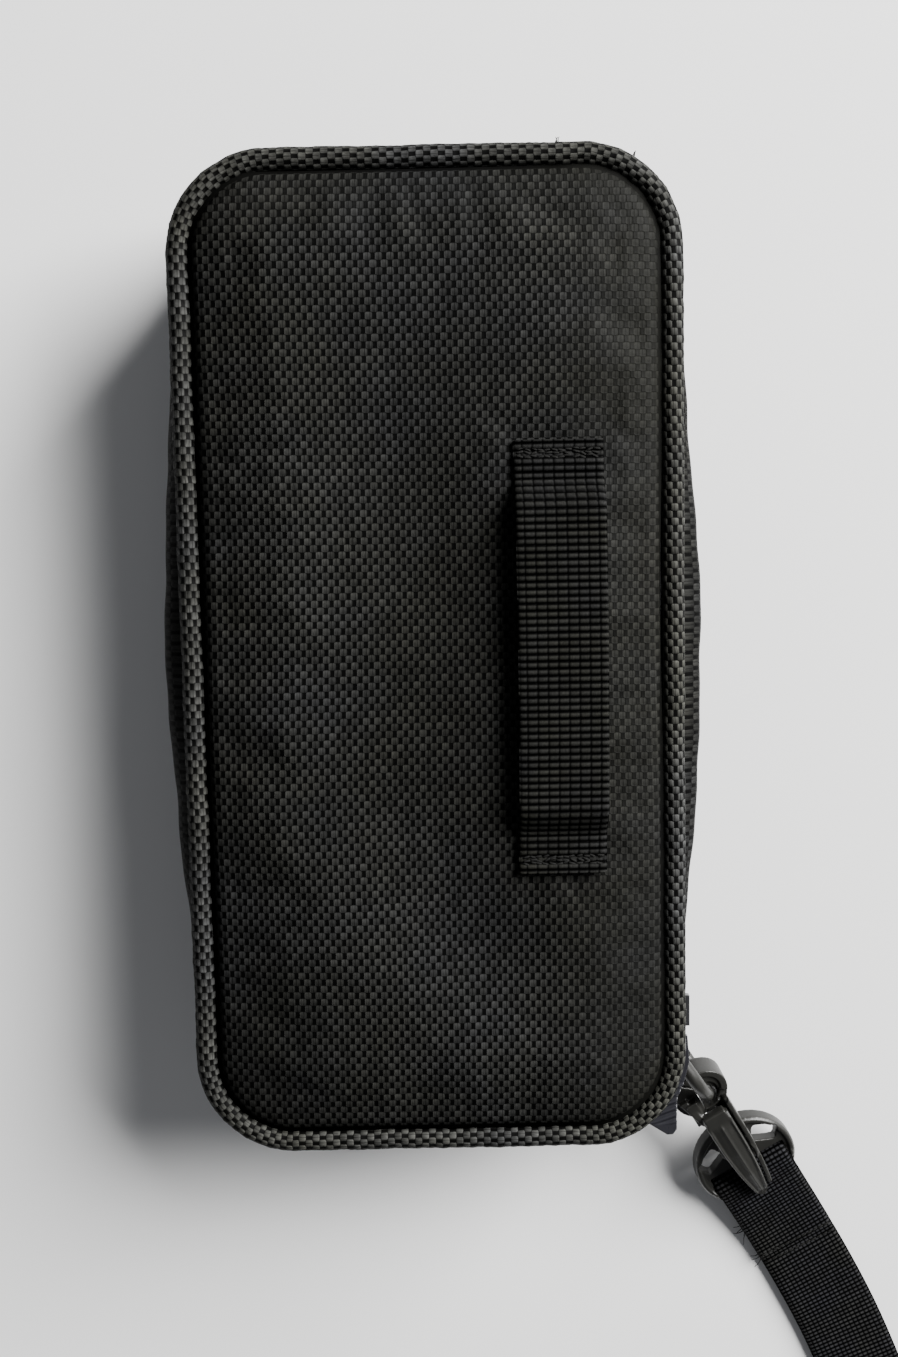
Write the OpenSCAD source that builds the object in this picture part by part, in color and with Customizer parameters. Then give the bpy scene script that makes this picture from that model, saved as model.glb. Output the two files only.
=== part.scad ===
/* [Case] */
// Width across the piping
case_w = 110; // [104:1:116]
// Length across the piping
case_l = 220; // [212:1:228]
// Height of the zipper plane above the resting face
zip_z = 29.5; // [29:0.5:30]
// Height of the top of the back piping
back_z = 48.5; // [48:0.5:50]
// Outer corner radius seen from above
corner_r = 22; // [21:0.5:24]
// Piping diameter
piping_d = 5; // [4.6:0.1:5.4]
// Rise of the padded back panel above its edge
crown = 3.4; // [2:0.1:4]
// Bulge of the long side walls at mid length
wall_swell = 6; // [2:0.5:7]

/* [Belt loop] */
// Width of the belt loop webbing
loop_w = 19.2; // [18:0.2:20]
// Thickness of the belt loop webbing
loop_t = 1.4; // [1.2:0.1:1.6]
// Upper end of the belt loop
loop_top_y = 48; // [44:0.5:52]
// Lower end of the belt loop
loop_bottom_y = -45.6; // [-50:0.4:-42]
// Middle of the belt loop across the case
loop_x = 27.4; // [24:0.2:29]
// Free height under the belt loop
loop_gap = 4.5; // [4.3:0.1:5]

/* [Ring and hook] */
// Wire diameter of the ring
ring_wire = 3.5; // [3.2:0.1:3.6]
// Angle of the ring seen from above
ring_angle = -56; // [-58:1:-54]
// Angle of the hook seen from above
hook_angle = -60; // [-62:1:-58]
// Downward tilt of the hook
hook_tilt = 16; // [15:0.5:17]
// Diameter of the hook head
head_d = 13.2; // [13:0.1:13.6]

/* [Strap] */
// Width of the hand strap webbing
strap_w = 20; // [19:0.5:20]
// Thickness of the hand strap webbing
strap_t = 1.3; // [1.1:0.1:1.4]

/* [Hidden] */
$fn = 32;

half_w = case_w / 2;
half_l = case_l / 2;
pipe_r = piping_d / 2;
// Steps along a corner, a long side and a short side
corner_steps = 6;
long_steps = 10;
short_steps = 5;
// Front layers, counted up from the resting face
panel_t = 1.0;
foam_t = 3.0;
board_t = 1.0;
lining_t = 0.5;
layer_gap = 0.05;
// Outer and inner faces of the side wall, measured from the piping's outer edge
wall_out = -1.2;
wall_in = -2.3;
tape_out = -2.4;
tape_in = -3.3;
lining_out = -3.4;
lining_in = -3.9;
panel_edge = -2 * pipe_r - 0.1;
// Half of the free gap between the two rows of teeth
row_gap = 0.8;

// Rounded rectangle, going round from the lower right corner, moved outward by d.
// Each entry is x, y, outward x, outward y.
function corner_arc(cx, cy, r, from) = [for (k = [0 : corner_steps])
    let (a = from + 90 * k / corner_steps) [cx + r * cos(a), cy + r * sin(a), cos(a), sin(a)]];
function side_run(p, q, n) = [for (k = [1 : n - 1]) let (t = k / n)
    [p[0] + (q[0] - p[0]) * t, p[1] + (q[1] - p[1]) * t, p[2], p[3]]];
function outline(d) = let (r = max(corner_r + d, 1), x = half_w + d - r, y = half_l + d - r,
    a = corner_arc(x, -y, r, -90), b = corner_arc(x, y, r, 0),
    c = corner_arc(-x, y, r, 90), e = corner_arc(-x, -y, r, 180), m = corner_steps)
    concat(a, side_run(a[m], b[0], long_steps), b, side_run(b[m], c[0], short_steps),
        c, side_run(c[m], e[0], long_steps), e, side_run(e[m], a[0], short_steps));
count = len(outline(0));
// Share of the bulge at a point: full at mid length of a long side, none at the corners
function swell_at(p) = abs(p[2]) > 0.999 ? pow(cos(90 * min(1, abs(p[1]) / (half_l - corner_r))), 1.2) : 0;
// One ring of points for the section point s = [outward, height, bulge]
function lifted(s) = [for (p = outline(s[0])) let (w = s[2] * swell_at(p))
    [p[0] + p[2] * w, p[1] + p[3] * w, s[1]]];

// Sweeps a section round the outline, from step first to step last
module ring_sweep(section, first = 0, last = 0, closed = true) {
    rings = [for (s = section) lifted(s)];
    m = len(section);
    n = closed ? count : last - first + 1;
    pts = [for (i = [0 : n - 1]) for (j = [0 : m - 1]) rings[j][(first + i) % count]];
    top = closed ? n - 1 : n - 2;
    quads = [for (i = [0 : top]) for (j = [0 : m - 1])
        let (a = i * m + j, b = i * m + (j + 1) % m, c = ((i + 1) % n) * m + (j + 1) % m, d = ((i + 1) % n) * m + j)
        each [[a, b, c], [a, c, d]]];
    caps = closed ? [] : [[for (j = [m - 1 : -1 : 0]) j], [for (j = [0 : m - 1]) (n - 1) * m + j]];
    polyhedron(points = pts, faces = concat(quads, caps), convexity = 8);
}

// Stacks outline rings, each level = [outward, height, bulge]; first and last are capped
module ring_stack(levels) {
    pts = [for (s = levels) each lifted(s)];
    quads = [for (k = [0 : len(levels) - 2]) for (i = [0 : count - 1])
        let (a = k * count + i, b = (k + 1) * count + i, c = (k + 1) * count + (i + 1) % count, d = k * count + (i + 1) % count)
        each [[a, b, c], [a, c, d]]];
    k = len(levels) - 1;
    base = len(pts);
    low = [for (i = [0 : count - 1]) [i, (i + 1) % count, base]];
    high = [for (i = [0 : count - 1]) [k * count + (i + 1) % count, k * count + i, base + 1]];
    mids = [[0, 0, levels[0][1]], [0, 0, levels[k][1]]];
    polyhedron(points = concat(pts, mids), faces = concat(quads, low, high), convexity = 8);
}

// Flat plate cut to the outline
module plate(d, z, t) {
    translate([0, 0, z])
        linear_extrude(t)
            polygon([for (p = outline(d)) [p[0], p[1]]]);
}

// Section of the piping wrap: a fabric tube open toward the seam
function wrap_section(z, seam) = concat(
    [for (k = [0 : 7]) let (a = seam + 22 + 316 * k / 7) [-pipe_r + pipe_r * cos(a), z + pipe_r * sin(a), 0]],
    [for (k = [7 : -1 : 0]) let (a = seam + 22 + 316 * k / 7)
        [-pipe_r + (pipe_r - 0.75) * cos(a), z + (pipe_r - 0.75) * sin(a), 0]]);
function cord_section(z) = [for (k = [0 : 7]) [-pipe_r + 1.6 * cos(45 * k), z + 1.6 * sin(45 * k), 0]];

// Section of a side wall from height h0 to h1 that swells outward by up to b
wall_steps = [[0, 0], [0.18, 0.7], [0.5, 1], [0.82, 0.7], [1, 0]];
function wall_section(h0, h1, b) = concat(
    [for (k = [0 : 4]) let (w = wall_steps[k]) [wall_out, h0 + (h1 - h0) * w[0], b * w[1]]],
    [for (k = [4 : -1 : 0]) let (w = wall_steps[k]) [wall_in, h0 + (h1 - h0) * w[0], b * w[1]]]);

// Zipper runs from just past the right lower corner, round the top, to the left lower corner
zip_first = 2;
zip_last = 4 * corner_steps + 2 * long_steps + short_steps - 1;
front_pipe_z = pipe_r + 0.5;
back_pipe_z = back_z - pipe_r;

// ---- Front half: the shell that rests on its outer face ----
module front_panel() {
    color("dimgray")
        plate(panel_edge, 0, panel_t);
}

module front_foam() {
    color("khaki")
        plate(panel_edge, panel_t + layer_gap, foam_t);
}

module front_board() {
    color("tan")
        plate(panel_edge, panel_t + foam_t + 2 * layer_gap, board_t);
}

front_floor = panel_t + foam_t + board_t + 3 * layer_gap;

module front_lining() {
    color("slategray")
        ring_stack([[lining_out, front_floor + 0.5, 0], [lining_out, zip_z - 7, 0],
            [lining_in, zip_z - 7, 0], [lining_in, front_floor + 0.5 + lining_t, 0]]);
}

module front_piping() {
    color("gray")
        ring_sweep(wrap_section(front_pipe_z, 135));
}

module front_piping_cord() {
    color("white")
        ring_sweep(cord_section(front_pipe_z));
}

module front_gusset() {
    h0 = 2 * pipe_r + 0.6;
    h1 = zip_z - 3.5;
    color("dimgray")
        ring_sweep(wall_section(h0, h1, wall_swell / 2));
}

module front_binding() {
    color("black")
        ring_sweep([[-4.6, front_floor + 1.1, 0], [-4.0, front_floor + 1.1, 0], [-4.0, front_floor + 6, 0],
            [-4.6, front_floor + 6, 0]]);
}

module tape(low, high) {
    ring_sweep([[tape_in, low, 0], [tape_out, low, 0], [tape_out, high, 0], [tape_in, high, 0]],
        zip_first, zip_last, false);
}

module zipper_tape_front() {
    color("black")
        tape(zip_z - 6.5, zip_z - row_gap - 0.8);
}

module teeth(low, high) {
    ring_sweep([[-3.5, low, 0], [-1.7, low, 0], [-1.7, high, 0], [-3.5, high, 0]], zip_first + 4, zip_last - 5, false);
}

module zipper_teeth_front() {
    color("gray")
        teeth(zip_z - row_gap - 0.7, zip_z - row_gap);
}

module zipper_stops() {
    color("silver")
        for (side = [-1, 1])
            translate([side * (half_w - 2.6) - 1.1, -half_l + corner_r - 2.3, zip_z - row_gap - 0.78])
                cube([2.2, 2, 0.68]);
}

module hinge_tape_front() {
    color("black")
        translate([-30, -half_l + 0.2, zip_z - 7.5])
            cube([60, 0.9, 7.2]);
}

// ---- Ring tab sewn into the lower right corner of the front wall ----
tab_angle = -24;
tab_reach = 5.3;
tab_w = 15;
tab_t = 1.3;
ring_z = 14;
tab_r = ring_wire / 2 + 0.08;
corner_x = half_w - corner_r;
corner_y = -half_l + corner_r;
bar_dist = corner_r + wall_out + tab_reach;
bar_x = corner_x + bar_dist * cos(tab_angle);
bar_y = corner_y + bar_dist * sin(tab_angle);

module tab_place() {
    translate([corner_x, corner_y, 0])
        rotate([0, 0, tab_angle])
            translate([bar_dist, 0, ring_z - tab_w / 2])
                children();
}

module ring_tab() {
    color("black")
        tab_place()
            linear_extrude(tab_w)
                difference() {
                    union() {
                        circle(r = tab_r + tab_t);
                        translate([-tab_reach + 0.15, -tab_r - tab_t])
                            square([tab_reach - 0.15, 2 * (tab_r + tab_t)]);
                    }
                    circle(r = tab_r);
                    translate([-tab_reach, -0.15])
                        square([tab_reach, 0.3]);
                    translate([-tab_reach - 1, tab_r - 0.2])
                        rotate(38)
                            square([4, 4]);
                    translate([-tab_reach - 1, -tab_r + 0.2])
                        rotate(-128)
                            square([4, 4]);
                }
}

module ring_tab_stitches() {
    color("white")
        tab_place()
            for (k = [0 : 4])
                translate([-3.6, tab_r + tab_t + 0.02, 1.5 + 3 * k - 0.9])
                    cube([0.5, 0.35, 1.8]);
}

// ---- Back half: the shell with the belt loop ----
back_edge = back_z - 0.6;
crown_steps = [[0, 0], [3, 0.42], [8, 0.72], [16, 0.92], [27, 1], [36, 1.03]];
top_of_panel = back_edge + crown * 1.03;

module back_panel() {
    out = [for (c = crown_steps) [panel_edge - c[0], back_edge + crown * c[1], 0]];
    inn = [for (k = [len(crown_steps) - 1 : -1 : 0]) let (c = crown_steps[k])
        [panel_edge - c[0], back_edge - panel_t + crown * c[1], 0]];
    color("dimgray")
        ring_stack(concat(inn, out));
}

module back_foam() {
    base = back_edge - panel_t - layer_gap - 2.2;
    color("khaki")
        ring_stack(concat([[panel_edge, base, 0]],
            [for (c = crown_steps) [panel_edge - c[0], back_edge - panel_t - layer_gap + crown * c[1], 0]]));
}

module back_board() {
    color("tan")
        plate(panel_edge, back_edge - panel_t - 2.2 - 2 * layer_gap - board_t, board_t);
}

back_ceiling = back_edge - panel_t - 2.2 - 3 * layer_gap - board_t;

module back_lining() {
    color("slategray")
        ring_stack([[lining_in, back_ceiling - 0.5 - lining_t, 0], [lining_in, zip_z + 7, 0],
            [lining_out, zip_z + 7, 0], [lining_out, back_ceiling - 0.5, 0]]);
}

module back_piping() {
    color("gray")
        ring_sweep(wrap_section(back_pipe_z, 225));
}

module back_piping_cord() {
    color("white")
        ring_sweep(cord_section(back_pipe_z));
}

module back_gusset() {
    h0 = zip_z + 3.5;
    h1 = back_z - 2 * pipe_r - 0.1;
    color("dimgray")
        ring_sweep(wall_section(h0, h1, wall_swell));
}

module back_binding() {
    color("black")
        ring_sweep([[-4.6, back_ceiling - 6, 0], [-4.0, back_ceiling - 6, 0], [-4.0, back_ceiling - 1.1, 0],
            [-4.6, back_ceiling - 1.1, 0]]);
}

module zipper_tape_back() {
    color("black")
        tape(zip_z + row_gap + 0.8, zip_z + 6.5);
}

module zipper_teeth_back() {
    color("gray")
        teeth(zip_z + row_gap, zip_z + row_gap + 0.7);
}

module hinge_tape_back() {
    color("black")
        translate([-30, -half_l + 0.2, zip_z + 0.3])
            cube([60, 0.9, 7.2]);
}

// Belt loop: one webbing, flat at both sewn ends and arched between them
loop_foot = top_of_panel + 0.05;
loop_rise = loop_gap;
loop_len = loop_top_y - loop_bottom_y;
function loop_height(s) = s < 8 ? 0 : s < 15 ? loop_rise * (1 - cos(180 * (s - 8) / 7)) / 2 : loop_rise;
loop_steps = [0, 4, 8, 9.5, 11, 12.5, 14, 15, loop_len / 2];
function loop_side(up) = concat([for (s = loop_steps) [s, loop_foot + loop_height(s) + up]],
    [for (k = [len(loop_steps) - 2 : -1 : 0]) let (s = loop_steps[k]) [loop_len - s, loop_foot + loop_height(s) + up]]);

module belt_loop() {
    color("black")
        translate([loop_x + loop_w / 2, loop_bottom_y, 0])
            rotate([90, 0, -90])
                linear_extrude(loop_w)
                    polygon(concat([for (p = loop_side(0)) [-p[0], p[1]]], turned([for (p = loop_side(loop_t)) [-p[0], p[1]]])));
}

module belt_loop_stitches() {
    color("white")
        for (y = [loop_bottom_y + 2.2, loop_top_y - 2.6])
            for (k = [0 : 6])
                translate([loop_x - loop_w / 2 + 1.6 + 2.4 * k, y, loop_foot + loop_t + 0.02])
                    cube([1.6, 0.5, 0.3]);
}

// ---- Zipper slider, link and pull ----
slider_y = -84;
slider_len = 9;
link_x = half_w + 1.5;
link_y = slider_y - 2.5;

module slider_body() {
    color("black")
        translate([0, slider_y, zip_z]) {
            // outer plate
            translate([half_w - 1.35, -slider_len / 2, -3])
                cube([1.15, slider_len, 6]);
            // inner plate
            translate([half_w - 5, -slider_len / 2, -3])
                cube([1.15, slider_len, 6]);
            // post between the two rows
            translate([half_w - 5, slider_len / 2 - 2.2, -0.45])
                cube([4.8, 2, 0.9]);
            // crown that holds the link
            difference() {
                translate([half_w - 0.25, -4.2, -1])
                    cube([3.6, 7.4, 2]);
                translate([half_w - 0.21, -3.4, -1.1])
                    cube([2.55, 5.8, 2.2]);
            }
        }
}

// The link is a wire bail standing on edge: upright bars in the crown and in the pull
link_r = 0.7;
link_h = 2.4;
link_len = 6.6;

module link_bar(x, y) {
    translate([x, y, zip_z - link_h])
        cylinder(r = link_r, h = 2 * link_h);
}

module pull_link() {
    color("gray") {
        link_bar(link_x, link_y);
        link_bar(link_x, link_y - link_len);
        for (side = [-1, 1])
            translate([link_x, link_y + link_r, zip_z + side * link_h])
                rotate([90, 0, 0])
                    cylinder(r = link_r, h = link_len + 2 * link_r);
    }
}

pull_y = link_y - link_len;
pull_t = 1.4;

module pull_tab() {
    color("black")
        translate([0, 0, zip_z - pull_t / 2]) {
            difference() {
                linear_extrude(pull_t)
                    polygon([[half_w - 0.3, pull_y + 2.4], [half_w + 2.9, pull_y + 2.4], [half_w + 3.3, pull_y - 4],
                        [half_w + 2, pull_y - 9], [half_w + 0.4, pull_y - 13], [half_w + 0.3, -113.6],
                        [half_w - 0.6, -114.8], [half_w - 2, -114.9], [half_w - 6.2, -112.2], [half_w - 6.6, -111],
                        [half_w - 5.8, -105.6], [half_w - 2.6, -100], [half_w - 0.6, pull_y - 3]]);
                translate([link_x, pull_y, -1])
                    cylinder(r = link_r + 0.08, h = 4);
            }
        }
}

// ---- D ring ----
ring_len = 14.5;
ring_half = 8 + ring_wire / 2;
ring_r = ring_wire / 2;
ring_flat = ring_len - ring_half;

module ring_place() {
    translate([bar_x, bar_y, ring_z])
        rotate([0, 0, ring_angle])
            children();
}

module d_ring() {
    color("black")
        ring_place() {
            translate([0, 0, -ring_half])
                cylinder(r = ring_r, h = 2 * ring_half);
            for (side = [-1, 1])
                translate([0, 0, side * ring_half]) {
                    sphere(r = ring_r);
                    rotate([0, 90, 0])
                        cylinder(r = ring_r, h = ring_flat);
                }
            translate([ring_flat, 0, 0])
                rotate([90, 90, 0])
                    rotate_extrude(angle = 180, $fn = 64)
                        translate([ring_half, 0])
                            circle(r = ring_r);
        }
}

// ---- Hook: x runs from the head to the webbing bar, y to the side, z up ----
head_x = 63;
head_y = -109;
head_z = 14;
head_r = head_d / 2;
head_t = 6.4;
eye_r = 3.8;
eye_x = 1.4;
hub_x = 20.3;
hub_r = 2.5;
post_r = 2.4;
pin_x = 8.2;
pin_z = 4.9;
bar_u = 31;
bar_r = 1.9;

module hook_place() {
    translate([head_x, head_y, head_z])
        rotate([0, 0, hook_angle])
            rotate([0, hook_tilt, 0])
                children();
}

function sector(r, a, b) = concat([[0, 0]], [for (k = [0 : 8]) let (t = a + (b - a) * k / 8) [r * cos(t), r * sin(t)]]);
function turned(v) = [for (k = [len(v) - 1 : -1 : 0]) v[k]];

// Boat shape of the thumb lever seen from above
function lever_half(u) = u < 12 ? 3.4 : 3.4 - 2.0 * pow((u - 12) / 24, 2);
function lever_edge(u) = u > 34 ? 1.7 - 1.3 * (u - 34) / 1.8 : lever_half(u);
lever_steps = [6, 10, 14, 18, 22, 26, 30, 33, 34.6, 35.8];
rail_steps = [4, 8, 12, 16, 20, 24, 28, 31, 33.4];
rail_gap = 0.5;
rail_w = 1.2;

// Cuts a shape drawn in the side view out of a band across the hook
module side_shape(points) {
    translate([0, 8, 0])
        rotate([90, 0, 0])
            linear_extrude(16)
                polygon(points);
}

module hook_frame() {
    color("dimgray")
        hook_place() {
            difference() {
                union() {
                    // head ring, lower where the lever starts
                    difference() {
                        translate([0, 0, -head_t / 2])
                            cylinder(r = head_r, h = head_t, $fn = 48);
                        translate([5.5, -8, 2.1])
                            cube([8, 16, 4]);
                    }
                    // neck on the right side, and its step over the swivel loop
                    translate([3, -1.8, -head_t / 2])
                        cube([4, 6.4, head_t / 2 + 2]);
                    translate([4, -1.8, 1.55])
                        cube([8.9, 6.4, 0.9]);
                    // base plate over the hub
                    translate([11, -3.6, 1.6])
                        cube([9.5, 7.7, 1.1]);
                    translate([hub_x, 0, 1.5])
                        cylinder(r = 4.6, h = 1.3);
                    // rail along the right side of the lever
                    intersection() {
                        translate([0, 0, 1])
                            linear_extrude(8)
                                polygon(concat([for (u = rail_steps) [u, lever_edge(u) - 0.3 + rail_gap]],
                                    turned([for (u = rail_steps) [u, lever_edge(u) - 0.3 + rail_gap + rail_w]])));
                        side_shape([[3, 1.5], [24.5, 1.5], [26.5, 3.6], [34, 3.9], [34, 4.8], [26, 6.3], [18, 6.9],
                            [11, 6.9], [3, 5]]);
                    }
                    // boss that carries the lever
                    translate([pin_x - 1.8, -1.2, 1.65])
                        cube([3.6, 2.2, pin_z - 1.65]);
                    translate([pin_x, 1.0, pin_z])
                        rotate([90, 0, 0])
                            cylinder(r = 1.9, h = 2.2);
                }
                // eye for the ring
                translate([eye_x, 0, -5])
                    cylinder(r = eye_r, h = 10, $fn = 48);
                // mouth closed by the gate
                translate([0, 0, -5])
                    linear_extrude(10)
                        polygon(sector(12, 212, 343));
                // bore for the pin
                translate([pin_x, 1.5, pin_z])
                    rotate([90, 0, 0])
                        cylinder(r = 1.05, h = 3);
            }
            // swivel post with a snap head, split down the middle
            difference() {
                union() {
                    translate([hub_x, 0, -2.3])
                        cylinder(r = post_r, h = 4);
                    translate([hub_x, 0, -3.1])
                        cylinder(r = post_r + 0.6, h = 0.9);
                }
                translate([hub_x - 4, -0.4, -4])
                    cube([8, 0.8, 4.6]);
            }
        }
}

module gate_lever() {
    color("dimgray")
        hook_place()
            difference() {
                union() {
                    intersection() {
                        translate([0, 0, 3])
                            linear_extrude(6)
                                polygon(concat([for (u = lever_steps) [u, -0.3 - lever_edge(u)]],
                                    turned([for (u = lever_steps) [u, -0.3 + lever_edge(u)]])));
                        side_shape([[6, 3.6], [30, 3.6], [35.8, 4.0], [35.8, 4.9], [33, 5.9], [26, 7.2],
                            [18, 7.9], [11, 7.9], [7.5, 7.5], [6, 6.6]]);
                    }
                    // gate finger that closes the head
                    translate([0, 0, -3])
                        linear_extrude(6.2)
                            difference() {
                                polygon(sector(6.4, 217, 297));
                                circle(r = 4.6);
                            }
                    // arm from the finger up to the lever
                    translate([0.4, -5.2, 3])
                        cube([7, 2.8, 2.2]);
                }
                // pocket for the boss and the spring
                translate([pin_x - 3.2, -1.6, 3])
                    cube([6.8, 3.9, 4.2]);
                translate([pin_x, 5, pin_z])
                    rotate([90, 0, 0])
                        cylinder(r = 1.0, h = 10);
            }
}

module lever_pin() {
    color("silver")
        hook_place()
            translate([pin_x, 2.9, pin_z])
                rotate([90, 0, 0])
                    cylinder(r = 1.0, h = 6.2);
}

module gate_spring() {
    color("silver")
        hook_place()
            for (k = [0 : 1])
                translate([pin_x, 1.95 - 0.5 * k, pin_z])
                    rotate([90, 0, 0])
                        rotate_extrude()
                            translate([1.5, 0])
                                circle(r = 0.22, $fn = 16);
}

// ---- Swivel loop: round hub, two windows and the bar for the webbing ----
loop_half = 13;

module d_outline(r, x0) {
    intersection() {
        translate([hub_x + 6.1, 0])
            circle(r = r, $fn = 64);
        translate([x0, -20])
            square([20, 40]);
    }
}

module swivel_loop() {
    color("dimgray")
        hook_place() {
            difference() {
                translate([0, 0, -1.7])
                    linear_extrude(2.9)
                        difference() {
                            intersection() {
                                translate([hub_x + 6.4, 0])
                                    circle(r = loop_half, $fn = 64);
                                translate([0, -20])
                                    square([bar_u + 3, 40]);
                            }
                            // space for the webbing
                            translate([hub_x + 6.6, -strap_w / 2 - 0.4])
                                square([20, strap_w + 0.8]);
                            // two windows
                            for (side = [-1, 1])
                                translate([hub_x + 1.6, side * 7.6])
                                    rotate(side * 62)
                                        intersection() {
                                            square([6.4, 4.6], center = true);
                                            circle(r = 3.6);
                                        }
                        }
                translate([hub_x, 0, -5])
                    cylinder(r = hub_r, h = 10);
            }
            // webbing bar between the two legs
            translate([bar_u, loop_half - 1.6, -0.25])
                rotate([90, 0, 0])
                    cylinder(r = bar_r, h = 2 * loop_half - 3.2);
        }
}

// ---- Hand strap: one webbing round the bar, doubled back on itself ----
bar_x2 = head_x + (bar_u * cos(hook_tilt) - 0.25 * sin(hook_tilt)) * cos(hook_angle);
bar_y2 = head_y + (bar_u * cos(hook_tilt) - 0.25 * sin(hook_tilt)) * sin(hook_angle);
bar_z = head_z - bar_u * sin(hook_tilt) - 0.25 * cos(hook_tilt);
wrap_r = bar_r + 0.12 + strap_t / 2;
strap_run = 150;
low_z = strap_t / 2 + 0.1;
high_z = low_z + strap_t + 0.1;
// Middle of the webbing as [distance from the bar, height], from the cut end to the other cut end
strap_path = concat(
    [[24, low_z], [16, low_z + 0.05], [10, low_z + 0.35], [5, low_z + 1.0]],
    [for (k = [0 : 8]) let (a = -75 - 195 * k / 8) [wrap_r * cos(a), bar_z + wrap_r * sin(a)]],
    [[2.6, bar_z + 2.0], [5, bar_z + 1.1], [10, high_z + 2.1], [16, high_z + 0.8], [22, high_z + 0.1]],
    [for (k = [0 : 12]) [30 + 10 * k, high_z]],
    [for (k = [1 : 5]) let (a = 90 - 30 * k) [strap_run + 0.75 * cos(a), (low_z + high_z) / 2 + 0.7 * sin(a)]],
    [for (k = [0 : 12]) [strap_run - 10 * k, low_z]], [[26, low_z]]);
// Sideways drift of the strap and its slope at a distance from the bar
function drift(s) = s < 0 ? 0 : 0.00114 * s * s;
function slope(s) = s < 0 ? 0 : 0.00228 * s;
// Direction of the path in its own side view at step i
function path_dir(i) = let (a = strap_path[max(0, i - 1)], b = strap_path[min(len(strap_path) - 1, i + 1)],
    v = b - a) v / norm(v);
// A point of the webbing: step i, across the width, above the middle
function strap_point(i, across, up) = let (t = path_dir(i), p = strap_path[i],
    s = p[0] - up * t[1], z = p[1] + up * t[0], q = drift(p[0]), m = slope(p[0]), n = sqrt(1 + m * m),
    along = s + across * m / n, side = -q + across / n)
    [bar_x2 + along * cos(hook_angle) - side * sin(hook_angle),
     bar_y2 + along * sin(hook_angle) + side * cos(hook_angle), z];

module strap_webbing() {
    m = len(strap_path);
    h = strap_t / 2;
    w = strap_w / 2;
    pts = [for (i = [0 : m - 1]) each [strap_point(i, -w, -h), strap_point(i, w, -h),
        strap_point(i, w, h), strap_point(i, -w, h)]];
    quads = [for (i = [0 : m - 2]) for (j = [0 : 3])
        let (a = i * 4 + j, b = i * 4 + (j + 1) % 4, c = (i + 1) * 4 + (j + 1) % 4, d = (i + 1) * 4 + j)
        each [[a, c, b], [a, d, c]]];
    e = 4 * (m - 1);
    ends = [[0, 1, 2], [0, 2, 3], [e, e + 2, e + 1], [e, e + 3, e + 2]];
    color("black")
        polyhedron(points = pts, faces = concat(quads, ends), convexity = 8);
}

// Rows of stitches on top of the doubled webbing
module strap_stitches() {
    color("white")
        translate([bar_x2, bar_y2, 0])
            rotate([0, 0, hook_angle])
                for (row = [0 : 1])
                    for (k = [0 : 6])
                        translate([23.6 + 3.4 * row, -8.6 + 2.5 * k - 0.8, high_z + strap_t / 2 + 0.1])
                            cube([0.5, 1.6, 0.3]);
}

front_panel();
front_foam();
front_board();
front_lining();
front_piping();
front_piping_cord();
front_gusset();
front_binding();
zipper_tape_front();
zipper_teeth_front();
zipper_stops();
hinge_tape_front();
ring_tab();
ring_tab_stitches();
back_panel();
back_foam();
back_board();
back_lining();
back_piping();
back_piping_cord();
back_gusset();
back_binding();
zipper_tape_back();
zipper_teeth_back();
hinge_tape_back();
belt_loop();
belt_loop_stitches();
slider_body();
pull_link();
pull_tab();
d_ring();
hook_frame();
gate_lever();
lever_pin();
gate_spring();
swivel_loop();
strap_webbing();
strap_stitches();
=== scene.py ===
"""Zippered soft carrying case: its looks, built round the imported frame.

Lengths are in millimetres, and times MM they are metres. The case lies on its front face, with z up.
Bodies and nodes are named as in the CAD. The order: camera, helpers, materials, panels, piping, walls,
inside, zipper, hinge, webbing, ring, hook, strap, then the table and the lights.
"""
import math
from contextlib import contextmanager

import bmesh
import bpy
import numpy as np
from mathutils import Matrix, Vector


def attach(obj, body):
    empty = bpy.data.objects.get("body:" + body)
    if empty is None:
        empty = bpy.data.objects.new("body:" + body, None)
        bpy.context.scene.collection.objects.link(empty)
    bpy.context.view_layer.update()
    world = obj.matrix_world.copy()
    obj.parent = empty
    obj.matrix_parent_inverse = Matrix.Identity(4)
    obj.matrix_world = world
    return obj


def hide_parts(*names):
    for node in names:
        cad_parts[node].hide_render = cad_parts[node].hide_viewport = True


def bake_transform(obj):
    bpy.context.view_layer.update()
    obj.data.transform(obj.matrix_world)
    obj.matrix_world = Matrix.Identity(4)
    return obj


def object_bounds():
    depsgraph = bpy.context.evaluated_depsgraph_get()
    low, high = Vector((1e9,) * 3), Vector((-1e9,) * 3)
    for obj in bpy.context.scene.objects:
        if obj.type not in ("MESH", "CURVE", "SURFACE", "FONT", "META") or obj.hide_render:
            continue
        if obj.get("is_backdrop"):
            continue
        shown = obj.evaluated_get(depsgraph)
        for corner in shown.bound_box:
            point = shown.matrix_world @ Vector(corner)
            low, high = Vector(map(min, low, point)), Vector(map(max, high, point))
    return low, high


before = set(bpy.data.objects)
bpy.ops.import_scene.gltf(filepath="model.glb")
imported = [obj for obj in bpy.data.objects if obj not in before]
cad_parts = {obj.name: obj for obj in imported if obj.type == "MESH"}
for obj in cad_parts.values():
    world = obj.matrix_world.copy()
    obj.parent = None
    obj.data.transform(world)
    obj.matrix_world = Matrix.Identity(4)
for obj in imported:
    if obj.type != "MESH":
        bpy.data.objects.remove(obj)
cad_box = [list(map(float, corner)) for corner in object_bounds()]
MM = 0.001


def heading(degrees):
    """The unit vector in x, y at an angle from x."""
    a = math.radians(degrees)
    return np.array((math.cos(a), math.sin(a)))


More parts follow.
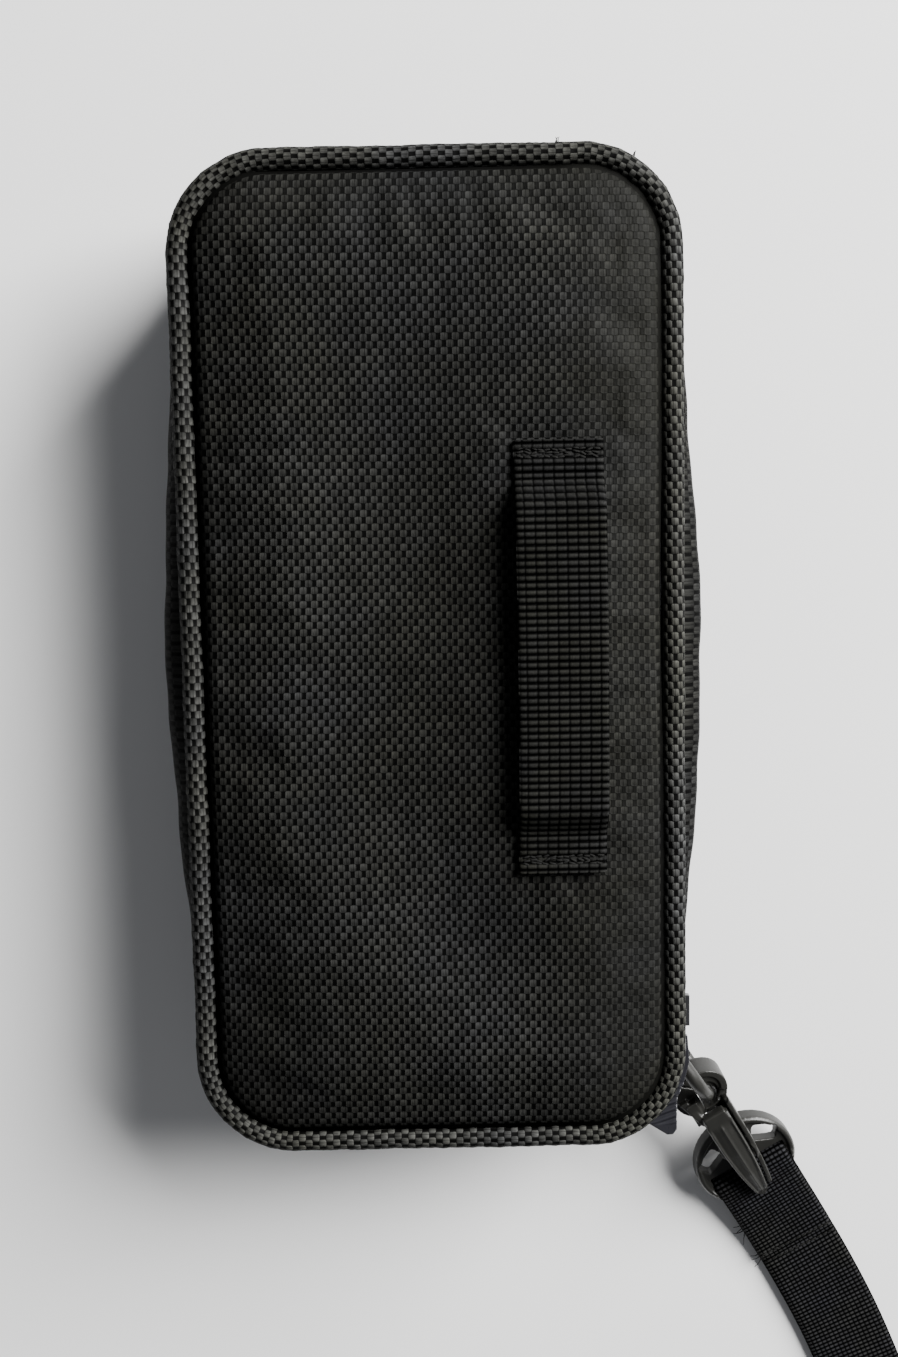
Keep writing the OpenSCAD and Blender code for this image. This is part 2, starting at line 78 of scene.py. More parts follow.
# ---------------------------------------------------------------- camera
cam_data = bpy.data.cameras.new("photo_camera")
cam_data.sensor_width = 36.0
cam_data.lens = 39.8
cam_data.clip_start = 0.02
cam = bpy.data.objects.new("photo_camera", cam_data)
bpy.context.scene.collection.objects.link(cam)
CAM_PITCH, CAM_ROLL = math.radians(-6.22), math.radians(-1.13)
cam.matrix_world = (Matrix.Translation(Vector((4.1, 32.3, 372.3)) * MM)
                    @ Matrix.Rotation(CAM_ROLL, 4, "Z") @ Matrix.Rotation(CAM_PITCH, 4, "X"))
bpy.context.scene.camera = cam

# ---------------------------------------------------------------- case sizes, as in the CAD
HALF_W, HALF_L, CORNER = 55.0, 110.0, 22.0
ZIP_Z, PIPE_R = 29.5, 2.5
YARN = (1.2, 1.5)  # pitch of the nylon across and along the case
rng = np.random.default_rng(7)


# ---------------------------------------------------------------- mesh helpers
def link(name, mesh, body, mat, slot, replaces=()):
    obj = bpy.data.objects.new(name, mesh)
    bpy.context.scene.collection.objects.link(obj)
    obj.data.materials.append(mat)
    if body:
        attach(obj, body)
    if replaces:
        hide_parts(*replaces)
    return obj


@contextmanager
def edited(mesh):
    """Opens a mesh for editing with bmesh, and writes it back."""
    bm = bmesh.new()
    bm.from_mesh(mesh)
    yield bm
    bm.to_mesh(mesh)
    bm.free()


def points_of(mesh):
    """A mesh's points in mm."""
    co = np.zeros(len(mesh.vertices) * 3)
    mesh.vertices.foreach_get("co", co)
    return co.reshape(-1, 3) / MM


def move_points(mesh, points):
    mesh.vertices.foreach_set("co", (points * MM).ravel())
    mesh.update()


def unit(rows):
    return rows / np.linalg.norm(rows, axis=1)[:, None]


def mesh_from(name, verts, faces, uvs=None, smooth=True):
    """verts in mm; uvs is one (u, v) per face corner, in mm as well."""
    mesh = bpy.data.meshes.new(name)
    mesh.from_pydata([tuple(v) for v in np.asarray(verts, float) * MM], [], [tuple(f) for f in faces])
    if uvs is not None:
        layer = mesh.uv_layers.new(name="UVMap")
        layer.data.foreach_set("uv", np.asarray(uvs, np.float32).ravel())
    if smooth:
        mesh.shade_smooth()
    mesh.validate()
    return mesh


def grid_mesh(name, P, u, v, closed_i=False, closed_j=False, cap=False):
    """A quad grid P[i, j] in mm. u has one entry per row (one more if closed), v one per column."""
    n, m = P.shape[:2]
    verts = P.reshape(-1, 3)
    faces, uvs = [], []
    for i in range(n if closed_i else n - 1):
        i2 = (i + 1) % n
        for j in range(m if closed_j else m - 1):
            j2 = (j + 1) % m
            faces.append((i * m + j, i2 * m + j, i2 * m + j2, i * m + j2))
            uvs += [(u[i], v[j]), (u[i + 1], v[j]), (u[i + 1], v[j + 1]), (u[i], v[j + 1])]
    if cap:
        for i in (0, n - 1):
            ring = [i * m + j for j in range(m)]
            faces.append(tuple(ring if i else ring[::-1]))
            uvs += [(0, 0)] * m
    mesh = mesh_from(name, verts, faces, uvs)
    with edited(mesh) as bm:
        bmesh.ops.recalc_face_normals(bm, faces=bm.faces)
    return mesh


def wobble(s, period, seed):
    """Smooth repeatable wave along arc length s, about -1 to 1."""
    r = np.random.default_rng(seed)
    total = np.zeros_like(s, dtype=float)
    for k in range(3):
        total += np.sin(2 * np.pi * s * (2 ** k) / period + r.uniform(0, 6.28)) / (1.6 ** k)
    return total / 2


# ---------------------------------------------------------------- shader helpers
def material(name):
    mat = bpy.data.materials.new(name)
    mat.use_nodes = True
    tree = mat.node_tree
    tree.nodes.clear()
    out = tree.nodes.new("ShaderNodeOutputMaterial")
    bsdf = tree.nodes.new("ShaderNodeBsdfPrincipled")
    tree.links.new(bsdf.outputs[0], out.inputs[0])
    return mat, tree, bsdf


class Val:
    """A number in a node tree, so that shader sums can be written as sums."""
    def __init__(self, tree, socket):
        self.tree, self.socket = tree, socket

    def math(self, op, *values):
        n = self.tree.nodes.new("ShaderNodeMath")
        n.operation = op
        for k, value in enumerate(values):
            put(self.tree, n.inputs[k], value)
        return Val(self.tree, n.outputs[0])

    def __add__(self, b):
        return self.math("ADD", self, b)

    def __sub__(self, b):
        return self.math("SUBTRACT", self, b)

    def __rsub__(self, a):
        return self.math("SUBTRACT", a, self)

    def __mul__(self, b):
        return self.math("MULTIPLY", self, b)

    def __truediv__(self, b):
        return self.math("DIVIDE", self, b)

    def __pow__(self, b):
        return self.math("POWER", self, b)

    def __abs__(self):
        return self.math("ABSOLUTE", self)

    def __round__(self):
        return self.math("ROUND", self)

    def fit(self, gain, start):
        """self * gain + start"""
        return self.math("MULTIPLY_ADD", self, gain, start)

    def above(self, b):
        """The larger of self and b."""
        return self.math("MAXIMUM", self, b)

    def root(self):
        return self.math("SQRT", self)


def put(tree, socket, value):
    value = value.socket if isinstance(value, Val) else value
    if isinstance(value, bpy.types.NodeSocket):
        tree.links.new(value, socket)
    else:
        socket.default_value = value


def noise(tree, coord, scale, detail=3.0, rough=0.55):
    n = tree.nodes.new("ShaderNodeTexNoise")
    put(tree, n.inputs["Vector"], coord)
    n.inputs["Scale"].default_value = scale
    n.inputs["Detail"].default_value = detail
    n.inputs["Roughness"].default_value = rough
    return Val(tree, n.outputs["Fac"])


def scaled(tree, coord, sx, sy, sz=1.0, turn=0.0):
    n = tree.nodes.new("ShaderNodeMapping")
    put(tree, n.inputs["Vector"], coord)
    n.inputs["Scale"].default_value = (sx, sy, sz)
    n.inputs["Rotation"].default_value = (0, 0, turn)
    return n.outputs[0]


def ramp(tree, fac, stops):
    n = tree.nodes.new("ShaderNodeValToRGB")
    put(tree, n.inputs[0], fac)
    while len(n.color_ramp.elements) < len(stops):
        n.color_ramp.elements.new(0.5)
    for e, (at, col) in zip(n.color_ramp.elements, stops):
        e.position = at
        e.color = (*col, 1) if hasattr(col, "__len__") else (col, col, col, 1)
    return Val(tree, n.outputs[0])


def mix(tree, fac, a, b):
    n = tree.nodes.new("ShaderNodeMix")
    n.data_type = "RGBA"
    put(tree, n.inputs[0], fac)
    put(tree, n.inputs[6], (*a, 1))
    put(tree, n.inputs[7], (*b, 1))
    return n.outputs[2]


def times(tree, color, fac):
    n = tree.nodes.new("ShaderNodeVectorMath")
    n.operation = "SCALE"
    put(tree, n.inputs[0], color)
    put(tree, n.inputs["Scale"], fac)
    return n.outputs[0]


def bump(tree, bsdf, height, distance):
    n = tree.nodes.new("ShaderNodeBump")
    n.inputs["Strength"].default_value = 1.0
    n.inputs["Distance"].default_value = distance * MM
    put(tree, n.inputs["Height"], height)
    put(tree, bsdf.inputs["Normal"], n.outputs[0])


def position(tree, uv=False):
    n = tree.nodes.new("ShaderNodeTexCoord")
    return n.outputs["UV" if uv else "Object"]


def split(tree, coord):
    n = tree.nodes.new("ShaderNodeSeparateXYZ")
    put(tree, n.inputs[0], coord)
    return Val(tree, n.outputs[0]), Val(tree, n.outputs[1])


def cells(x, y):
    """The cell that x, y are in, and their places in it, -0.5 to 0.5."""
    ix, iy = round(x), round(y)
    return ix, iy, x - ix, y - iy


# Half width and half height of a woven brick, counted in yarns
BRICK = (0.68, 0.56)


def weave(tree, coord, warp_lead, loose):
    """Height 0..1 of a plain weave in the x, y of coord, one cell per crossing. Its yarns drift by loose."""
    x, y = split(tree, coord)
    drift = (noise(tree, coord, 0.35, 2.0) - 0.5) * loose
    x, y = x + drift, y + drift
    ix, iy, fx, fy = cells(x, y)

    def yarn(f, along, index, half, lift):
        body = (1.0 - abs(f / half) ** 5.0).above(0.0).root()
        arch = f.math("COSINE", (along + index) * math.pi)
        return body * arch.fit(0.5, 0.5 + lift)

    warp, weft = yarn(fx, y, ix, 0.5, warp_lead), yarn(fy, x, iy + 1.0, 0.46, -0.06)
    return warp.above(weft) / (1.0 + warp_lead)


def basket(tree, coord):
    """Woven bricks wider than their cell, on a staggered lattice.
    Returns the height 0..1, the place in the brick (du, dv), and a random value for each brick."""
    x, y = split(tree, coord)
    ix, iy, fx, fy = cells(x, y)
    odd = abs((ix + iy).math("MODULO", ix + iy, 2.0))
    ay, near = abs(fy), abs(abs(fx) - odd)

    def brick(dx, dy):
        return (1.0 - (dx / BRICK[0]) ** 4.0 - (dy / BRICK[1]) ** 6.0).above(0.0).root()

    own, other = brick(near, ay), brick(1.0 - near, 1.0 - ay)
    second = own.math("GREATER_THAN", other, own)
    side = odd * (1.0 - second) + (1.0 - odd) * second
    du, dv = fx - side * fx.math("SIGN", fx), fy - second * fy.math("SIGN", fy)
    return own.above(other), du, dv, per_cell(tree, round(x - du), round(y - dv))


def per_cell(tree, x, y):
    """A random value 0..1 that is the same all over the cell x, y."""
    cell = tree.nodes.new("ShaderNodeCombineXYZ")
    put(tree, cell.inputs[0], x)
    put(tree, cell.inputs[1], y)
    white = tree.nodes.new("ShaderNodeTexWhiteNoise")
    put(tree, white.inputs["Vector"], cell.outputs[0])
    return Val(tree, white.outputs["Value"])


def attribute(tree, name):
    n = tree.nodes.new("ShaderNodeAttribute")
    n.attribute_name = name
    return Val(tree, n.outputs["Fac"])


def gauss(value, centre, width):
    """A soft line: 1 where value is centre, gone a width or two away."""
    off = (value - centre) / width
    return off.math("POWER", 2.718, off * off * -1.0)


def cloth_finish(t, bsdf, hairs):
    put(t, bsdf.inputs["Roughness"], hairs.fit(0.25, 0.43))
    bsdf.inputs["Specular IOR Level"].default_value = 0.03


# the second value is how bright the painted shade in the weave's gaps is
NYLON_TINT, GAP_SHADE_LEVEL = (0.0150, 0.0150, 0.0130), 0.05


def nylon(name, depth=0.20, gain=1.0, zones=True):
    """The coarse nylon of the case on UVs counted in yarns: double yarns with a split between, painted shade
    in the split and in the gaps, olive tint. gain is its brightness, depth its relief in mm, and zones adds a
    panel's patches of dust and of painted light and shade, and painted light on its lit side."""
    mat, t, bsdf = material(name)
    obj, coord = position(t), position(t, True)
    height, du, dv, chance = basket(t, coord)
    hairs = noise(t, scaled(t, coord, 4.6, 0.9), 1.0, 3.0, 0.75)
    # the ramp darkens the low places between bricks: painted shade in the gaps
    body = ramp(t, height, [(0.0, GAP_SHADE_LEVEL), (0.16, GAP_SHADE_LEVEL * 1.6), (0.42, 0.42), (0.78, 0.9), (1.0, 1.0)])
    level = body * chance.fit(0.5, 0.75) * hairs.fit(2.2, -0.15)
    # the split between the two yarns of a brick, a little off its middle, darkened: painted shade in the
    # split
    crack = gauss(du - chance.fit(0.3, -0.1), 0.0, 0.09)
    # the upper end of a brick catches the light, its lower end dips under
    level = level * crack.fit(-0.5, 1.0) * dv.fit(0.95, 1.0)
    # painted highlight: the left edge yarn of each brick runs on as a thin bright line beside the gap under
    # it
    line = gauss(du, -BRICK[0] + 0.03, 0.055) * dv.math("LESS_THAN", abs(dv), 0.5)
    level = line.fit(0.55, level)
    olive = ramp(t, noise(t, obj, 30.0, 3.0, 0.6), [(0.36, 0.0), (0.64, 1.0)])
    r, g, b = NYLON_TINT
    hue = mix(t, olive, NYLON_TINT, (r * 0.97, g * 0.98, b * 1.12))
    if zones:
        # patches of dust and of painted light and shade on the panel, read from a mesh attribute
        level = level * noise(t, obj, 16.0, 2.0, 0.5).fit(0.35, 0.825) * (attribute(t, "dust_and_light") + 1.0)
        # painted light: the weave's contrast is evened out towards one level where the panel faces the lamp
        level = level + (0.62 - level) * attribute(t, "flat")
    put(t, bsdf.inputs["Base Color"], times(t, hue, level * gain))
    cloth_finish(t, bsdf, hairs)
    bump(t, bsdf, height + hairs * 0.12 - crack * 0.10, depth)
    return mat


def ribbed(name, tint, slope=1.7, gap=0.11, half=0.44):
    """Grosgrain webbing on UVs counted in ribs and bricks: cross ribs parted into bricks. slope lights their
    upper edges, gap is the width of the parting and half is half a rib's width."""
    mat, t, bsdf = material(name)
    obj, coord = position(t), position(t, True)
    ix, iy, fx, fy = cells(*split(t, coord))
    chance = per_cell(t, ix, iy)
    rib = (1.0 - abs(fx / half) ** 2.0).above(0.0).root()
    seam = gauss((0.5 - abs(fy)) + chance.fit(0.04, -0.02), 0.0, gap)
    hairs = noise(t, scaled(t, coord, 1.2, 14.0), 1.0, 2.0, 0.6)
    specks = noise(t, scaled(t, coord, 3.0, 6.0), 1.0, 3.0, 0.75)
    # the ramp leaves the grooves between ribs near black and the seam darkens the partings: painted shade in
    # both
    body = ramp(t, rib, [(0.0, 0.01), (0.5, 0.04), (0.8, 0.55), (1.0, 1.0)])
    level = body * chance.fit(0.3, 0.85) * hairs.fit(0.9, 0.55) * specks.fit(2.0, 0.0)
    level = level * seam.fit(-0.92, 1.0) * fx.fit(slope, 1.0)
    olive = ramp(t, noise(t, obj, 60.0, 3.0, 0.6), [(0.36, 0.0), (0.64, 1.0)])
    hue = mix(t, olive, tint, (tint[0] * 0.97, tint[1] * 0.97, tint[2] * 1.15))
    put(t, bsdf.inputs["Base Color"], times(t, hue, level))
    cloth_finish(t, bsdf, hairs)
    bump(t, bsdf, rib + specks * 0.15 - seam * 0.3, 0.16)
    return mat


def lighter(color, by):
    return tuple(c * by for c in color)


def plastic(name, color, rough, grain=0.02, coat=0.0):
    """Moulded plastic: fine grain, faint flow marks, lighter sharp edges."""
    mat, t, bsdf = material(name)
    obj = position(t)
    geo = t.nodes.new("ShaderNodeNewGeometry")
    fine = noise(t, obj, 2600.0, 3.0, 0.6)
    flow = noise(t, scaled(t, obj, 260, 90, 260), 1.0, 3.0, 0.6)
    marks = noise(t, scaled(t, obj, 900, 120, 900, 0.6), 1.0, 4.0, 0.7)
    edge = ramp(t, geo.outputs["Pointiness"], [(0.5, 0.0), (0.56, 1.0)])
    level = flow.fit(0.5, 0.75) + edge * 0.4
    put(t, bsdf.inputs["Base Color"], times(t, mix(t, fine, color, lighter(color, 1.25)), level))
    put(t, bsdf.inputs["Roughness"], marks.fit(0.18, rough - 0.09) + fine * 0.06)
    bsdf.inputs["Specular IOR Level"].default_value = 0.35
    if coat:
        bsdf.inputs["Coat Weight"].default_value = coat
        bsdf.inputs["Coat Roughness"].default_value = 0.12
    bump(t, bsdf, fine * 0.6 + marks * 0.4, grain)
    return mat


def metal(name, color, rough):
    """Bare steel wire, brushed along its length."""
    mat, t, bsdf = material(name)
    obj = position(t)
    brushed = noise(t, scaled(t, obj, 400, 5200, 400), 1.0, 3.0, 0.6)
    base = mix(t, noise(t, obj, 700.0, 4.0, 0.65), color, lighter(color, 1.3))
    put(t, bsdf.inputs["Base Color"], times(t, base, brushed.fit(0.4, 0.8)))
    bsdf.inputs["Metallic"].default_value = 1.0
    put(t, bsdf.inputs["Roughness"], brushed.fit(0.2, rough - 0.1))
    bump(t, bsdf, brushed, 0.01)
    return mat


def plain_cloth(name, color, pitch=0.5, depth=0.08):
    """Fine flat cloth or tape, on object coordinates."""
    mat, t, bsdf = material(name)
    obj = position(t)
    height = weave(t, scaled(t, obj, 1000 / pitch, 1000 / pitch, 1000 / pitch), 0.1, 0.6)
    soft = noise(t, obj, 90.0, 3.0)
    fuzz = noise(t, obj, 1800.0, 2.0, 0.6)
    # darker where the weave is low: painted shade in its hollows
    level = height.fit(0.7, 0.4) * soft.fit(0.6, 0.7) * fuzz.fit(0.5, 0.75)
    put(t, bsdf.inputs["Base Color"], times(t, mix(t, soft, color, lighter(color, 1.25)), level))
    put(t, bsdf.inputs["Roughness"], soft.fit(0.2, 0.65))
    bsdf.inputs["Specular IOR Level"].default_value = 0.1
    bump(t, bsdf, height + fuzz * 0.3, depth)
    return mat


panel_mat = nylon("ballistic_nylon")
wall_mat = nylon("wall_nylon", gain=0.9, zones=False)
piping_mat = nylon("piping_nylon", gain=2.3, depth=0.22, zones=False)
lining_mat = plain_cloth("lining_cloth", (0.05, 0.05, 0.054), 0.45)
binding_mat = plain_cloth("binding_tape", (0.018, 0.018, 0.018), 0.7)
foam_mat = plain_cloth("foam_pad", (0.09, 0.09, 0.095), 0.9, depth=0.15)
board_mat = plastic("stiff_board", (0.05, 0.05, 0.05), 0.6)
cord_mat = plastic("filler_cord", (0.5, 0.5, 0.48), 0.5)
tape_mat = plain_cloth("zipper_tape", (0.014, 0.014, 0.014), 0.6, depth=0.12)
teeth_mat = plastic("zipper_teeth", (0.014, 0.014, 0.015), 0.36)
webbing_mat = ribbed("belt_webbing", (0.0118, 0.0118, 0.0098))
strap_mat = ribbed("strap_webbing", (0.0235, 0.0235, 0.0225), slope=0.5, gap=0.2, half=0.38)
thread_mat = plain_cloth("sewing_thread", (0.035, 0.034, 0.03), 0.25)
black_thread_mat = plain_cloth("black_thread", (0.0075, 0.0075, 0.007), 0.3)
lacquer_mat = plastic("black_lacquer", (0.014, 0.014, 0.015), 0.28, coat=0.5)
pull_mat = plastic("glossy_pull", (0.0110, 0.0110, 0.0135), 0.26, grain=0.012, coat=0.12)
hard_mat = plastic("satin_plastic", (0.0106, 0.0105, 0.0094), 0.33)
steel_mat = metal("bright_steel", (0.55, 0.55, 0.55), 0.3)

NODE_MATS = (
    (panel_mat, "front_panel back_panel"), (foam_mat, "front_foam back_foam"),
    (board_mat, "front_board back_board"), (lining_mat, "front_lining back_lining"),
    (piping_mat, "front_piping back_piping"),
    (cord_mat, "front_piping_cord back_piping_cord"), (binding_mat, "front_binding back_binding"),
    (wall_mat, "front_gusset back_gusset hinge_tape_front hinge_tape_back"),
    (tape_mat, "zipper_tape_front zipper_tape_back"), (teeth_mat, "zipper_teeth_front zipper_teeth_back"),
    (webbing_mat, "ring_tab belt_loop"), (strap_mat, "strap_webbing"),
    (thread_mat, "ring_tab_stitches belt_loop_stitches strap_stitches"),
    (lacquer_mat, "zipper_stops slider_body pull_link"), (pull_mat, "pull_tab"),
    (hard_mat, "d_ring hook_frame gate_lever swivel_loop"), (steel_mat, "lever_pin gate_spring"))
for mat, node_names in NODE_MATS:
    for node_name in node_names.split():
        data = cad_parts[node_name].data
        data.materials.clear()
        data.materials.append(mat)


# ---------------------------------------------------------------- shared shape code
def evaluated_mesh(obj):
    return bpy.data.meshes.new_from_object(obj.evaluated_get(bpy.context.evaluated_depsgraph_get()))


def edge_points(step):
    """The case's outer edge at an even step: points, outward normals, arc lengths with the closing one."""
    x, y, r = HALF_W - CORNER, HALF_L - CORNER, CORNER
    pts, nrm = [], []
    for cx, cy, a0 in ((x, -y, -90), (x, y, 0), (-x, y, 90), (-x, -y, 180)):
        for k in range(61):
            a = math.radians(a0 + 1.5 * k)
            pts.append((cx + r * math.cos(a), cy + r * math.sin(a)))
            nrm.append((math.cos(a), math.sin(a)))
    pts.append(pts[0])
    nrm.append(nrm[0])
    pts, nrm = np.array(pts), np.array(nrm)
    s = np.concatenate([[0], np.cumsum(np.linalg.norm(np.diff(pts, axis=0), axis=1))])
    count = int(round(s[-1] / step / 2)) * 2
    at = np.linspace(0, s[-1], count, endpoint=False)
    p = np.stack([np.interp(at, s, pts[:, k]) for k in (0, 1)], 1)
    q = np.stack([np.interp(at, s, nrm[:, k]) for k in (0, 1)], 1)
    return p, unit(q), np.append(at, s[-1])


def basket_height(X, Y):
    """The shader's woven bricks, for vertices: height 0 to 1 at yarn coordinates X, Y."""
    ix, iy = np.round(X), np.round(Y)
    odd, ay = np.abs(np.fmod(ix + iy, 2)), np.abs(Y - iy)
    near = np.abs(np.abs(X - ix) - odd)
    bricks = [np.sqrt(np.clip(1 - (dx / BRICK[0]) ** 4 - (dy / BRICK[1]) ** 6, 0, 1))
              for dx, dy in ((near, ay), (1 - near, 1 - ay))]
    return np.maximum(*bricks)


def waves(x, y, period, seed):
    """Smooth repeatable relief over the plane, about -1 to 1."""
    r = np.random.default_rng(seed)
    total, count = np.zeros(np.broadcast(x, y).shape), 7
    for _ in range(count):
        a, ph, p = r.uniform(0, 2 * np.pi), r.uniform(0, 2 * np.pi), period * r.uniform(0.7, 1.6)
        total = total + np.sin(2 * np.pi * (x * np.cos(a) + y * np.sin(a)) / p + ph)
    return total / math.sqrt(count) / 1.4


def smooth(t):
    t = np.clip(t, 0, 1)
    return t * t * (3 - 2 * t)


def inset_of(x, y, d0):
    """Distance inwards from the outline moved by d0, negative outside."""
    hx, hy, r = HALF_W + d0, HALF_L + d0, CORNER + d0
    qx, qy = np.abs(x) - (hx - r), np.abs(y) - (hy - r)
    out = np.hypot(np.maximum(qx, 0), np.maximum(qy, 0)) + np.minimum(np.maximum(qx, qy), 0) - r
    return -out


def wall_swell(pts, nrm):
    """Share of the walls' outward swell: full midway along the long sides, none at the corners and ends."""
    w = np.cos(np.pi / 2 * np.clip(np.abs(pts[:, 1]) / (HALF_L - CORNER), 0, 1)) ** 1.2
    return np.where(np.abs(nrm[:, 0]) > 0.999, w, 0.0)


def band(profile, wave, step=1.2, yarn=YARN, bulge=0.0):
    """Sweeps a profile of (offset, height, share of bulge) points round the case. wave(s, k) adds to the
    offset. Returns the grid of points and its u and v."""
    pts, nrm, s = edge_points(step)
    sw = wall_swell(pts, nrm)
    prof = np.array(profile, float)
    P = np.zeros((len(pts), len(prof), 3))
    for k, (d, z, share) in enumerate(prof):
        move = d + bulge * share * sw + wave(s[:-1], k)
        P[:, k, :2] = pts + nrm * move[:, None]
        P[:, k, 2] = z
    return P, s / yarn[0], closed_steps(prof[:, :2]) / yarn[1]


def frames_along(path, up_hint):
    """Side and up vectors square to the path, with up as near up_hint as it can be."""
    tan = unit(np.gradient(path, axis=0))
    side = unit(np.cross(tan, np.broadcast_to(np.asarray(up_hint, float), path.shape)))
    return side, np.cross(side, tan)


def tube_faces(base, rings, round_n):
    """Faces of a closed tube of rings of round_n points each, numbered from base, with its two end caps."""
    faces = []
    for i in range(rings - 1):
        a, b = base + i * round_n, base + (i + 1) * round_n
        faces += [(a + k, a + (k + 1) % round_n, b + (k + 1) % round_n, b + k) for k in range(round_n)]
    faces.append(tuple(base + k for k in reversed(range(round_n))))
    faces.append(tuple(base + (rings - 1) * round_n + k for k in range(round_n)))
    return faces


def flat_tangents(nrm):
    """Unit vectors along the edge, from its outward normals."""
    return np.column_stack([-nrm[:, 1], nrm[:, 0], np.zeros(len(nrm))])


def closed_steps(points):
    """Distances along a closed run of points, starting from 0, with the closing one."""
    step = np.linalg.norm(np.diff(np.vstack([points, points[:1]]), axis=0), axis=1)
    return np.concatenate([[0], np.cumsum(step)])


def stitches(name, centres, along, up, length=2.0, r=0.28, sink=0.35):
    """One mesh of short thread arcs that dip into the cloth at both ends."""
    verts, faces = [], []
    for c, a, n in zip(np.asarray(centres, float), np.asarray(along, float), np.asarray(up, float)):
        a, n = a / np.linalg.norm(a), n / np.linalg.norm(n)
        side = np.cross(n, a)
        base = len(verts)
        for i in range(7):
            t = i / 6 * 2 - 1
            mid = c + a * t * length / 2 + n * (r * 0.9 - (r + sink) * t ** 4)
            rr = r * (1 - 0.25 * t ** 2)
            for k in range(6):
                ang = 2 * math.pi * k / 6
                verts.append(mid + side * rr * math.cos(ang) + n * rr * 0.8 * math.sin(ang))
        faces += tube_faces(base, 7, 6)
    return mesh_from(name, verts, faces)


def moulded(node, name, voxel, rounds, mat, slot, body, shape=None, added=()):
    """A softened copy of a moulded CAD part: remeshed fine and smoothed, so that its edges have real radii.
    added are convex lumps (points in mm) that grow into it; shape(points in mm) may then add relief."""
    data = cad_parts[node].data.copy()
    with edited(data) as bm:
        for lump in added:
            bmesh.ops.convex_hull(bm, input=[bm.verts.new(c * MM) for c in lump])
        bmesh.ops.remove_doubles(bm, verts=bm.verts, dist=1e-6)
    data.materials.clear()
    temp = bpy.data.objects.new(name + "_src", data)
    bpy.context.scene.collection.objects.link(temp)
    m = temp.modifiers.new("r", "REMESH")
    m.mode, m.voxel_size = "VOXEL", voxel * MM
    m = temp.modifiers.new("s", "SMOOTH")
    m.factor, m.iterations = 0.5, rounds
    mesh = evaluated_mesh(temp)
    bpy.data.objects.remove(temp)
    mesh.name = name
    if shape:
        move_points(mesh, shape(points_of(mesh)))
    mesh.shade_smooth()
    return link(name, mesh, body, mat, slot, [node])


# ---------------------------------------------------------------- padded panels
PANEL_IN, PANEL_EDGE_Z = -5.1, 47.9
SEAM_IN = PANEL_IN + 0.9  # where the covers go into their seam
CROWN = ((0, 0), (3, 0.42), (8, 0.72), (16, 0.92), (27, 1.0), (36, 1.03), (60, 1.03))
LOOP_X, LOOP_Y = (17.8, 37.0), (-45.6, 48.0)


def mound(x, y, cx, cy, rx, ry):
    """A soft round mound, 1 at cx, cy and gone a reach or two away."""
    return np.exp(-((x - cx) / rx) ** 2 - ((y - cy) / ry) ** 2)


def crown_height(x, y):
    """Height of the back panel over its edge, before the cloth settles."""
    e = inset_of(x, y, PANEL_IN)
    xs, ys = zip(*CROWN)
    base = 3.1 * np.interp(e, xs, ys)
    ease = smooth(e / 14)
    # broad hollows and ridges of the tired foam
    ridge = 0.75 * np.exp(-((x * 0.62 + y * 0.78 + 58) / 15) ** 2) * smooth((40 - x) / 50)
    hollow = -0.7 * mound(x, y, 12, -58, 15, 17)
    left = 0.9 * mound(x, y, -40, 15, 13, 55) - 0.9 * mound(x, y, -2, 15, 16, 55)
    dimple = -0.4 * mound(x, y, 37, 51, 7, 8)
    foot = -0.35 * mound(x, y, 27, -47, 12, 6)
    wrinkles = 0.22 * waves(x, y, 34, 3) + 0.08 * waves(x, y, 11, 5)
    return base + ease * (ridge + hollow + left + dimple + foot + wrinkles)


SETTLE_CAP, SETTLE_FRAMES = 0.9, 16  # the most that a point may move, and the length of the run


def settle(height):
    """Cloth run on a coarse sheet: pinned at the seam and under the belt loop's feet, pushed out by the foam.
    Returns the sheet's x, y lines and the height it adds."""
    xs, ys = np.linspace(-49.9, 49.9, 41), np.linspace(-104.9, 104.9, 85)
    X, Y = np.meshgrid(xs, ys, indexing="ij")
    Z = height(X, Y)
    P = np.stack([X, Y, Z], -1)
    mesh = grid_mesh("settle", P, np.arange(41), np.arange(85))
    obj = bpy.data.objects.new("settle", mesh)
    bpy.context.scene.collection.objects.link(obj)
    held = obj.vertex_groups.new(name="held")
    edge = inset_of(X, Y, PANEL_IN).ravel() < 3
    near_foot = (np.abs(Y - LOOP_Y[0] - 3) < 4) | (np.abs(Y - LOOP_Y[1] + 3) < 4)
    feet = ((X > LOOP_X[0]) & (X < LOOP_X[1]) & near_foot).ravel()
    held.add([int(k) for k in np.flatnonzero(edge | feet)], 1.0, "REPLACE")
    mod = obj.modifiers.new("cloth", "CLOTH")
    c = mod.settings
    c.quality = 4
    c.mass = 0.2
    c.tension_stiffness = c.compression_stiffness = 12
    c.bending_stiffness = 1.5
    c.use_pressure = True
    c.uniform_pressure_force = 3.0
    c.vertex_group_mass = "held"
    c.effector_weights.gravity = 0
    c.shrink_min = -0.006
    mod.point_cache.frame_start, mod.point_cache.frame_end = 1, SETTLE_FRAMES
    scene = bpy.context.scene
    for f in range(1, SETTLE_FRAMES + 1):
        scene.frame_set(f)
    done = obj.evaluated_get(bpy.context.evaluated_depsgraph_get()).to_mesh()
    moved = np.clip(points_of(done)[:, 2] - Z.ravel(), -SETTLE_CAP, SETTLE_CAP).reshape(Z.shape)
    scene.frame_set(1)
    bpy.data.objects.remove(obj)
    return xs, ys, moved


